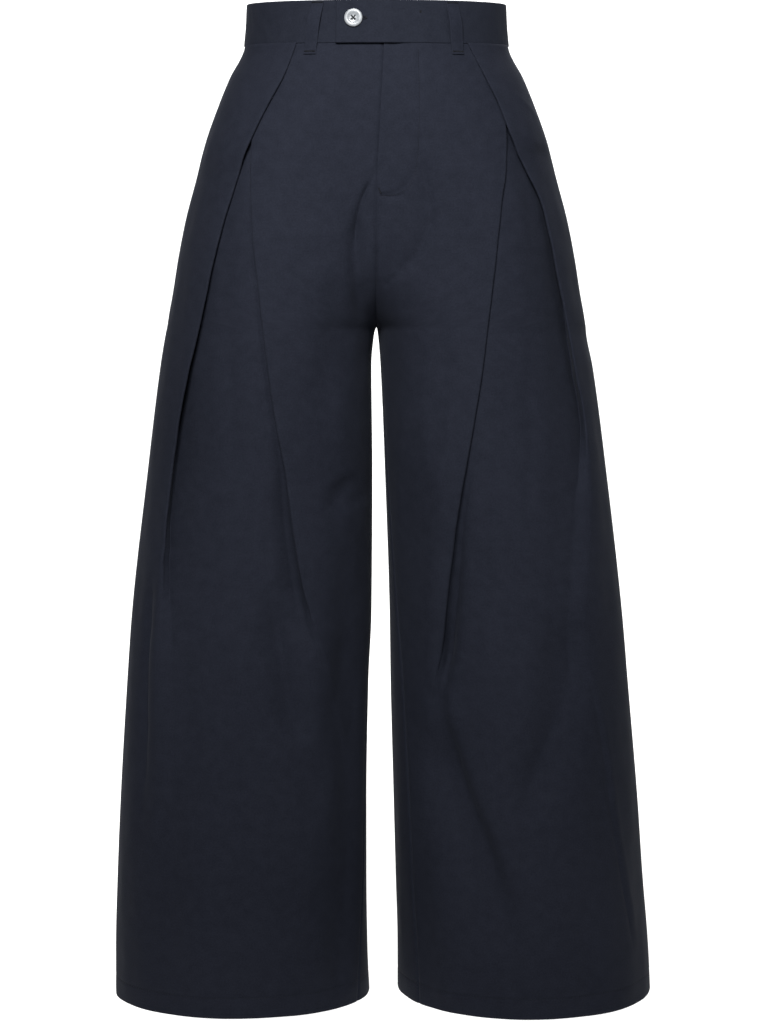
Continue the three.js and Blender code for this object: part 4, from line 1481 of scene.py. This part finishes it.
@dataclass
class BackPanel(Panel):
    """A back, from the side seam round to the centre seam and the inseam."""

    kind: str = "back"
    flat: tuple[float, float] = (0.41, 0.965)
    flat_area: float = 0.35
    columns: int = 112

    def grid(self, z: Array) -> Array:
        """The panel's middle surface: the section's rear arc, folded and drawn in at seams.

        Args:
            z: heights of the rows.

        Returns:
            Rows by columns by three.
        """
        rings = Rings.of(self.half, z)
        first = SIDE_SEAM - SEAM_LAP * rings.per_mm(np.full_like(rings.z, SIDE_SEAM))
        legs = 360 + rings.inseam + SEAM_LAP * rings.per_mm(rings.inseam)
        last = np.where(rings.z >= CROTCH_Z, 180 - rings.angle_at(-SEAM_LAP), legs)
        angle = rings.evenly(first, last, self.columns)
        out = rings.out_at(angle)
        level = np.broadcast_to(rings.z, out.shape)
        facing, left = -np.cos(np.radians(angle)), (last - angle) / rings.per_mm(angle)
        offset = crumple(BACK_FOLDS[self.half], out, level) * ease(out, 0, 14) * ease(facing, 0, 0.5)
        offset = offset + flutter(self.half, angle, level) * self.loose(left, level)
        offset = offset + self.hem_groove(level) + self.centre_seam(left, facing, rings.z)
        offset = offset + self.seam((angle - SIDE_SEAM) / rings.per_mm(angle))
        return rings.point(angle, offset)


# Waistband and belt loops


@dataclass
class Waistband:
    """Half of the band, from the centre back to the front, where the left half ends in a tab."""

    half: Half
    height: float = BAND_HEIGHT
    wall: float = BAND_WALL
    corner: float = 1.1
    tab_end: float = -38.7
    underlap_end: float = 8.0
    columns: int = 190
    lap_end: float = 16.0
    outline_spots: int = 44

    def outline(self) -> Array:
        """Section of the band: a rounded rectangle.

        Returns:
            Points [height, offset] round it.
        """
        straight = np.array([self.height, self.wall]) / 2 - self.corner
        turn = np.linspace(0, np.pi / 2, 6)
        corners = []
        for quarter, signs in enumerate([(1, 1), (-1, 1), (-1, -1), (1, -1)]):
            swing = turn + quarter * np.pi / 2
            corners.append(straight * signs + self.corner * np.stack([np.cos(swing), np.sin(swing)], 1))
        ring = np.concatenate(corners + [corners[0][:1]])
        reach = reach_along(ring)
        even = np.linspace(0, reach[-1], self.outline_spots)
        return sampled(ring, reach, np.unique(np.concatenate([reach, even]))[:-1])

    def rise(self, angle: Array) -> Array:
        """How far the left half lies out where it laps over the right one.

        Args:
            angle: degrees round from the front.

        Returns:
            The offsets.
        """
        if self.half is Half.RIGHT:
            return np.zeros_like(angle)
        start = Rings.of(self.half, 0.0).angle_at(self.underlap_end + 1)[0, 0]
        return (self.wall + 0.3) * (1 - ease(angle, start, self.lap_end))

    def surface(self, height: Array, angle: Array, offset: Array) -> Array:
        """Points on the band.

        Args:
            height: from the band's middle.
            angle: degrees round from the front.
            offset: out from its middle surface.

        Returns:
            Points by three.
        """
        rings = Rings.of(self.half, height)
        return rings.point(angle.reshape(-1, 1), offset.reshape(-1, 1))[:, 0]

    def build(self, finishes: Finishes) -> bpy.types.Object:
        """Sweeps the outline round the waist, rounding it off at both ends.

        Near an end the outline shrinks by 1 - sqrt(1 - (1 - e / r)^2), with e the way to the
        end and r the corner's radius.

        Args:
            finishes: the shared finishes.

        Returns:
            The band's half.
        """
        level = Rings.of(self.half, 0.0)
        end_x = self.tab_end if self.half is Half.LEFT else self.underlap_end
        end = level.angle_at(self.half.value * end_x)
        back = np.full((1, 1), 180 + SEAM_LAP * level.per_mm(np.full((1, 1), 180.0))[0, 0])
        body = level.evenly(end, back, self.columns)[0]
        per = level.per_mm(body[None])[0]
        close = np.array([0.0, 0.12, 0.35, 0.7, 1.1])
        angle = np.concatenate([body[0] + close * per[0], body[1:-1], body[-1] - close[::-1] * per[-1]])
        away = np.minimum((angle - body[0]) / per[0], (body[-1] - angle) / per[-1])
        pull = self.corner * drawn_in(away, self.corner)[:, None]
        ring = self.outline()
        count, around = len(angle), len(ring)
        height = ring[:, 0] * (1 - pull / (self.height / 2))
        offset = ring[:, 1] * (1 - pull / (self.wall / 2))
        ripple = 0.10 * np.sin(angle[:, None] * 0.41 + 0.12 * height)
        ripple += 0.07 * np.sin(angle[:, None] * 1.13 - 0.21 * height)
        edge = ease(np.abs(height), 12, 20)
        offset = offset + ripple * (1 - 0.5 * edge) + self.rise(angle)[:, None]
        points = self.surface(height.ravel(), np.repeat(angle, around), offset.ravel())
        made = tube(points.reshape(count, around, 3))
        run = np.cumsum(np.concatenate([[0], np.diff(angle) / per.mean()]))
        layout = np.stack([np.repeat(run, around), np.tile(ring[:, 0], count)], 1)
        made.cloth = np.concatenate([layout, [[0, 0], [run[-1], 0]]])
        piece = made.piece(f"band_{self.half.label}", finishes.band)
        return settle(piece, "waistband_cloth", f"waistband_{self.half.label}")


@dataclass
class BeltLoop:
    """A belt loop: a folded strip down over the band and onto the panel, bar-tacked twice."""

    name: str
    half: Half
    top: float
    bottom: float
    behind: bool
    width: float = 12.0
    thick: float = 1.6
    bow: float = 2.6
    bow_end: float = 0.82
    drop: float = 11.0
    groove: float = 0.22
    groove_width: float = 0.6
    groove_inset: float = 2.2
    edge: float = 0.8
    rows: int = 56

    def middle(self, t: Array, across: Array, out: Array | float) -> Array:
        """Points of the loop: t runs down it, across is the way from its middle line.

        The offset is its seat on the band plus bow sin^2(pi t / bow_end), and sinks to the
        panel's face at its lower end.

        Args:
            t: share of the way down.
            across: millimetres towards the side seam.
            out: distance out from the loop's own middle surface.

        Returns:
            Points by three.
        """
        z = BAND_HEIGHT / 2 - 0.5 - t * (BAND_HEIGHT + self.drop - 0.5)
        seat = mix(BAND_WALL / 2 + self.thick / 2, 0.5 + self.thick / 2, ease(t, 0.80, 0.92))
        bow = self.bow * np.sin(np.pi * np.minimum(t / self.bow_end, 1)) ** 2
        rings = Rings.of(self.half, z)
        front = rings.angle_at((mix(self.top, self.bottom, t) + across).reshape(-1, 1))
        angle = 180 - front if self.behind else front
        return rings.point(angle, (seat + bow + out).reshape(-1, 1))[:, 0]

    def build(self, finishes: Finishes) -> list[bpy.types.Object]:
        """Sweeps a flat rounded section with two sewn grooves down the loop, and adds tacks.

        Args:
            finishes: the shared finishes.

        Returns:
            The loop and its thread.
        """
        turn = full_turn(40)
        flat = squarish(np.cos(turn), 0.45) * self.width / 2
        high = squarish(np.sin(turn), 0.7) * self.thick / 2
        away = np.abs(flat) - self.width / 2 + self.groove_inset
        grooves = np.exp(-((away / self.groove_width) ** 2)) * self.groove
        high = high - np.sign(high) * grooves
        t = np.concatenate([[0, 0.004, 0.012], np.linspace(0.025, 0.975, self.rows), [0.988, 0.996, 1]])
        close = np.minimum(t, 1 - t) * (BAND_HEIGHT + self.drop)
        out = high * (1 - 0.8 * drawn_in(close, self.edge))[:, None]
        points = self.middle(np.repeat(t, len(turn)), np.tile(flat, len(t)), out.ravel())
        loop = tube(points.reshape(len(t), len(turn), 3)).piece(f"loop_{self.name}", finishes.cloth)
        settle(loop, "cloth", f"belt_loop_{self.name}")
        tacks, face = [], self.thick / 2
        spots = np.linspace(-0.42, 0.42, 17) * self.width
        for share in (0.035, 0.945):
            here = self.middle(np.full_like(spots, share), spots, face)
            ahead = unit(here - self.middle(np.full_like(spots, share - 0.01), spots, face))
            proud = self.middle(np.full_like(spots, share), spots, face + 1)
            grains = Stitches(length=1.7, radius=0.33).grains(here, ahead, square_to(proud - here, ahead))
            tacks.append(grains)
        thread = Surface.joined(tacks).piece(f"loop_{self.name}_tacks", finishes.dark_thread)
        settle(thread, "cloth")
        return [loop, thread]


# Fly, zip and button


@dataclass
class FlyStitching:
    """The row of stitches that holds the fly's facing, curved in like a J at its foot."""

    path: Points2 = (
        (41, -26), (42, -62), (42, -103), (40.5, -142), (37, -161),
        (31, -171), (23, -176.5), (14, -178), (3, -177.5),
    )

    @staticmethod
    def trough() -> Fold:
        """The narrow trough that the stitches pull into the cloth."""
        return Fold(0.8, 2.2, FlyStitching.path, fade=(0.01, 0.01))

    def build(self, front: FrontPanel, finishes: Finishes) -> bpy.types.Object:
        """Makes the row and the bar tack at its foot.

        Args:
            front: the left front, which carries it.
            finishes: the shared finishes.

        Returns:
            The thread.
        """
        line = smooth_path(self.path, 160)
        at, normal = front.face_at(line[:, 0], line[:, 1])
        row = Stitches(length=2.2, pitch=2.8, radius=0.2).row(at - normal * 0.45, normal)
        spots = np.linspace(0.0, 7.0, 12)
        x, z = 2.5 + spots * 0.3, -170.5 - spots * 0.75
        low, out = front.face_at(x, z)
        slant = unit(front.face_at(x + 0.7, z + 0.3)[0] - low)
        tack = Stitches(length=1.6, radius=0.3).grains(low, slant, square_to(out, slant))
        return settle(Surface.joined([row, tack]).piece("fly_stitches", finishes.thread), "cloth")


@dataclass
class FlyShield:
    """The strip behind the fly."""

    width: float = 40.0
    reach: float = 8.0
    inset: float = -4.3
    cloth: float = 0.9
    flat: tuple[float, float] = (0.040, 0.140)

    def build(self, finishes: Finishes) -> bpy.types.Object:
        """A strip that hangs behind the fronts and follows their troughs.

        Args:
            finishes: the shared finishes.

        Returns:
            The shield.
        """
        z = np.linspace(-23, FLY_END_Z, 70)
        x = np.linspace(-self.reach, self.width - self.reach, 36)
        rings = Rings.of(Half.LEFT, z)
        angle = rings.angle_at(x[None])
        level, wide = np.broadcast_to(rings.z, angle.shape), np.broadcast_to(x, angle.shape)
        dents = sum(FRONT_FOLDS[half][0].lift(half.value * wide, level) for half in Half)
        made = shell(rings.point(angle, self.inset + dents), self.cloth / 2, self.cloth / 2, False)
        shield = made.piece("shield", finishes.cloth)
        settle(shield, "cloth", "fly_shield")
        return shield


@dataclass
class Zip:
    """The closed zip behind the fly: two tapes, moulded teeth, slider and pull."""

    tape: float = 26.0
    inset: float = -2.6
    start: float = -23.0
    end: float = -148.0
    pitch: float = 1.5
    proud: float = 0.7

    def place(self, across: Array, z: Array, inset: Array | float) -> Array:
        """Points behind the fly, across from its edge, at an inset from the fronts."""
        rings = Rings.of(Half.LEFT, z)
        x = FLY.at("edge", rings.z) + np.reshape(across, (len(z), -1))
        return rings.point(rings.angle_at(x), inset)

    def rod(self, z: Array, wide: Array | float, deep: float, inset: float) -> Surface:
        """A squarish rod that runs down behind the fly.

        Args:
            z: heights of its rings.
            wide: half its width, at each height.
            deep: half its depth.
            inset: how far behind the fronts its middle lies.

        Returns:
            A closed surface.
        """
        turn = full_turn(20)
        across = np.reshape(wide, (-1, 1)) * squarish(np.cos(turn), 0.6) * np.ones((len(z), 1))
        return tube(self.place(across, z, inset + deep * squarish(np.sin(turn), 0.6)))

    def build(self, finishes: Finishes) -> list[bpy.types.Object]:
        """Makes the tapes, the teeth and the slider.

        Args:
            finishes: the shared finishes.

        Returns:
            Both pieces.
        """
        z = np.linspace(self.start, self.end, 60)
        across = np.tile(np.linspace(-self.tape / 2, self.tape / 2, 20), (len(z), 1))
        tapes = shell(self.place(across, z, self.inset), 0.3, 0.3, False).piece("zip_tapes", finishes.tape)
        settle(tapes, "zip_tape", "zip")
        rows, chain = np.arange(-36, self.end + 2, -self.pitch), self.inset - self.proud
        at = self.place(np.where(np.arange(len(rows)) % 2, 0.5, -0.5), rows, chain)[:, 0]
        ahead = unit(self.place(np.full(len(rows), 3.0), rows, chain)[:, 0] - at)
        inwards = unit(np.cross(ahead, [0.0, 0.0, 1.0]))
        teeth = Stitches(length=4.4, radius=0.55).grains(at, ahead, inwards)
        down = np.linspace(-24.5, -35, 12)
        slider = self.rod(down, np.interp(down, [-35, -31, -24.5], [2.2, 3.6, 4.2]), 1.2, chain)
        pull = self.rod(np.linspace(-27, -46, 14), 1.9, 0.45, self.inset - 2.5)
        metal = Surface.joined([teeth, slider, pull]).piece("zip_teeth_and_slider", finishes.teeth)
        return [tapes, settle(metal, "zip_tape")]


@dataclass
class Button:
    """Round button with four holes, a turned rim and a sunken middle, sewn with thread."""

    x: float = -21.7
    z: float = -4.5
    radius: float = 9.0
    thick: float = 2.8
    hole: float = 1.0
    spread: float = 2.3
    rings: int = 64
    around: int = 120

    def frame(self) -> tuple[Array, Array, Array, Array]:
        """Middle of the button's back and its axes: right, up and out of the tab.

        Returns:
            The place and three unit directions.
        """
        height = self.z + WAIST_TILT * HIPS.rows[0][4]
        turn = Rings.of(Half.LEFT, self.z).angle_at(self.x)[0, 0]

        def spot(angle: float, rise: float, offset: float) -> Array:
            """A point on the band near the button."""
            return Rings.of(Half.LEFT, height + rise).point(np.array([[angle]]), offset)[0, 0]

        seat = 1.5 * BAND_WALL + 0.3
        right = unit(spot(turn + 1, 0, seat) - spot(turn - 1, 0, seat))
        out = unit(np.cross(right, spot(turn, 1, seat) - spot(turn, -1, seat)))
        return spot(turn, 0, 0) + out * (seat + 0.15), right, np.cross(out, right), out

    def holes(self) -> Array:
        """Middles of the four holes in the button's own plane."""
        turn = np.radians([45, 135, 225, 315])
        return self.spread * np.stack([np.cos(turn), np.sin(turn)], 1)

    def disc(self) -> Surface:
        """The button as a lathe grid: profile height over radius, minus a pit at each hole.

        The profile's places are shares of the radius and of the thickness, from the middle of
        the face round the rim to the middle of the back.

        Returns:
            The closed surface in its own frame: x right, y up, z out.
        """
        shares = (
            (0, 0.62), (0.30, 0.62), (0.46, 0.66), (0.56, 0.84), (0.66, 0.98), (0.78, 1.0),
            (0.90, 0.94), (0.975, 0.72), (1.0, 0.46), (0.985, 0.22), (0.90, 0.05), (0.6, 0.0),
            (0.3, 0.0), (0, 0.0),
        )
        profile = np.array(shares) * [self.radius, self.thick]
        reach = reach_along(profile)
        spots = np.linspace(0, reach[-1], self.rings)[1:-1]
        radius, height = rounded(sampled(profile, reach, spots), 2).T[..., None]
        turn = full_turn(self.around)
        x, y = radius * np.cos(turn), radius * np.sin(turn)
        z = np.broadcast_to(height, x.shape)
        front = z > 0.3 * self.thick
        far = np.min([np.hypot(x - hx, y - hy) for hx, hy in self.holes()], axis=0)
        z = np.where(front, z - 1.35 * (1 - ease(far, self.hole * 0.72, self.hole * 1.12)), z)
        return tube(np.stack([x, y, z], -1))

    def placed(self, made: Surface) -> Surface:
        """Moves a surface from the button's own frame onto the tab."""
        at, right, up, out = self.frame()
        made.points = at + made.points @ np.stack([right, up, out])
        return made.facing_out()

    def build(self, finishes: Finishes) -> list[bpy.types.Object]:
        """Makes the button, its crossed thread and the buttonhole's bead.

        Args:
            finishes: the shared finishes.

        Returns:
            The pieces.
        """
        disc = self.placed(self.disc()).piece("button_disc", finishes.button)
        settle(disc, "button_plastic", "button")
        holes, strands, t = self.holes(), [], np.linspace(0, 1, 18)[:, None]
        for first, last in ((0, 2), (1, 3)):
            way = holes[last] - holes[first]
            square = unit(np.array([way[1], -way[0]]))
            rise = 0.55 * self.thick + (0.55 + 0.12 * first) * np.sin(np.pi * t) ** 0.5
            for side in (-0.28, 0.28):
                flat = holes[first] + way * t + square * side
                strands.append(along_path(np.hstack([flat, rise]), 0.30))
        thread = self.placed(Surface.joined(strands)).piece("button_thread", finishes.dark_thread)
        settle(thread, "button_plastic")
        turn = full_turn(90)
        slot = np.stack([2.5 + 10.5 * np.cos(turn), 1.5 * np.sin(turn), np.full_like(turn, -0.10)], 1)
        spoke = unit(np.stack([0.25 * np.cos(turn), np.sin(turn), np.zeros_like(turn)], 1))
        up = np.broadcast_to([0.0, 0.0, 1.0], slot.shape)
        bead = self.placed(Stitches(length=1.5, radius=0.26).grains(slot, spoke, up))
        bead = settle(bead.piece("buttonhole_stitches", finishes.thread), "waistband_cloth")
        return [disc, thread, bead]


@dataclass
class BandTack:
    """The short tack on the left half of the band that holds the hook inside it."""

    x: float = 43.0
    z: float = 9.5

    def build(self, finishes: Finishes) -> bpy.types.Object:
        """A few upright stitches close together.

        Args:
            finishes: the shared finishes.

        Returns:
            The thread.
        """
        spots = np.linspace(-0.8, 0.8, 5)
        rings = Rings.of(Half.LEFT, np.full_like(spots, self.z))
        angle = rings.angle_at((self.x + spots).reshape(-1, 1))
        at = rings.point(angle, BAND_WALL / 2 + 0.1)[:, 0]
        out = unit(rings.point(angle, BAND_WALL / 2 + 1.1)[:, 0] - at)
        down = square_to(np.broadcast_to([0.0, 0.0, -1.0], out.shape), out)
        made = Stitches(length=2.6, radius=0.24).grains(at, down, out)
        return settle(made.piece("band_tack", finishes.dark_thread), "waistband_cloth")


# Studio


def stand(data: bpy.types.ID, at: Place, aim: Place) -> bpy.types.Object:
    """Puts a camera or a light in the scene.

    Args:
        data: the camera's or the light's settings.
        at: where it stands, in metres.
        aim: the point that it faces, in metres.

    Returns:
        The object.
    """
    made = bpy.data.objects.new(data.name, data)
    bpy.context.collection.objects.link(made)
    made.location = at
    made.rotation_euler = (Vector(aim) - Vector(at)).to_track_quat("-Z", "Y").to_euler()
    return made


@dataclass(frozen=True)
class Lamp:
    """A square soft light: its place and aim in metres, side, watts and beam in degrees."""

    name: str
    at: Place
    aim: Place
    size: float
    watts: float
    beam: float

    def build(self) -> None:
        """Adds the light."""
        data = bpy.data.lights.new(self.name, "AREA")
        data.shape, data.size, data.energy = "SQUARE", self.size, self.watts
        data.spread = math.radians(self.beam)
        stand(data, self.at, self.aim)


LAMPS = (
    Lamp("high light", (-0.20, -1.5, 0.72), (0.0, 0.0, -0.20), 0.5, 12.0, 82.0),
    Lamp("fill light", (1.3, -1.5, 0.5), (0.0, 0.0, -0.10), 1.0, 1.3, 70.0),
    Lamp("back light", (0.2, 1.3, 1.8), (0.0, 0.0, -0.45), 1.4, 46.0, 180.0),
    Lamp("paper light", (0.0, 3.0, 2.3), (0.0, 5.0, -0.9), 1.6, 110.0, 180.0),
)


@dataclass
class Studio:
    """Seamless white paper, soft lights and the camera at the photograph's viewing angle."""

    camera_at: Place = (0.00763, -2.5, -0.327)
    aimed_at: Place = (0.00763, 0.0, -0.389)
    lens: float = 86.38
    sensor: float = 36.0
    shift: float = -0.10
    floor: float = -1.14
    paper_side: float = 5600.0
    paper_ahead: tuple[float, float] = (-4200.0, -1200.0)
    paper_bend: float = 4300.0
    bend_radius: float = 900.0
    paper_top: float = 3600.0
    sky: float = 0.07

    def camera(self) -> None:
        """Sets the camera, whose long side is the photograph's height.

        It stands nearly level, as the garment's sides hardly run together in the photograph,
        and a small shift brings the hem into the frame.
        """
        data = bpy.data.cameras.new("camera")
        data.lens, data.sensor_width, data.shift_y = self.lens, self.sensor, self.shift
        data.clip_start, data.clip_end = 0.05, 60.0
        bpy.context.scene.camera = stand(data, self.camera_at, self.aimed_at)

    def paper(self) -> None:
        """Lays the paper: flat on the floor, then up behind along a quarter circle."""
        swing, bend = np.linspace(0, np.pi / 2, 24), self.bend_radius
        y = self.paper_bend + np.concatenate([bend * np.sin(swing), [bend]])
        y = np.concatenate([self.paper_ahead, y])
        z = np.concatenate([[0.0, 0.0], bend * (1 - np.cos(swing)), [self.paper_top]]) + self.floor / MM
        x = np.linspace(-self.paper_side, self.paper_side, 9)
        points = np.stack([np.tile(x, len(y)), np.repeat(y, len(x)), np.repeat(z, len(x))], -1)
        quads = cells(np.arange(len(points)).reshape(-1, len(x)))[:, ::-1]
        sheet = Surface(points, quads, NO_TRIANGLES, points[:, :2])
        made = sheet.piece("paper", Paper("white paper", 0.93, 0.32).material())

    def build(self) -> None:
        """Sets up everything round the garment."""
        self.camera()
        self.paper()
        for lamp in LAMPS:
            lamp.build()
        world = bpy.data.worlds.new("soft sky")
        world.use_nodes = True
        background = world.node_tree.nodes["Background"]
        background.inputs[0].default_value = opaque((1.0, 1.0, 1.0))
        background.inputs[1].default_value = self.sky
        scene = bpy.context.scene
        scene.world = world
        scene.view_settings.view_transform = "Standard"


LOOPS = (
    BeltLoop("front_right", Half.RIGHT, 56.5, 65, False),
    BeltLoop("front_left", Half.LEFT, 73.5, 80, False),
    BeltLoop("side_right", Half.RIGHT, 96, 99, True),
    BeltLoop("side_left", Half.LEFT, 96, 99, True),
    BeltLoop("back", Half.LEFT, 0, 0, True),
)


def main() -> None:
    """Builds the studio and every piece of the trousers, and notes the sizes."""
    logging.basicConfig(level=logging.INFO, format="%(name)s %(message)s")
    Studio().build()
    finishes = Finishes.made()
    fronts = {half: FrontPanel(half) for half in Half}
    for half in Half:
        Waistband(half).build(finishes)
    for half in Half:
        fronts[half].build(finishes)
        BackPanel(half).build(finishes)
    FlyShield().build(finishes)
    Zip().build(finishes)
    FlyStitching().build(fronts[Half.LEFT], finishes)
    for loop in LOOPS:
        loop.build(finishes)
    Button().build(finishes)
    BandTack().build(finishes)


if __name__ == "__main__":
    main()
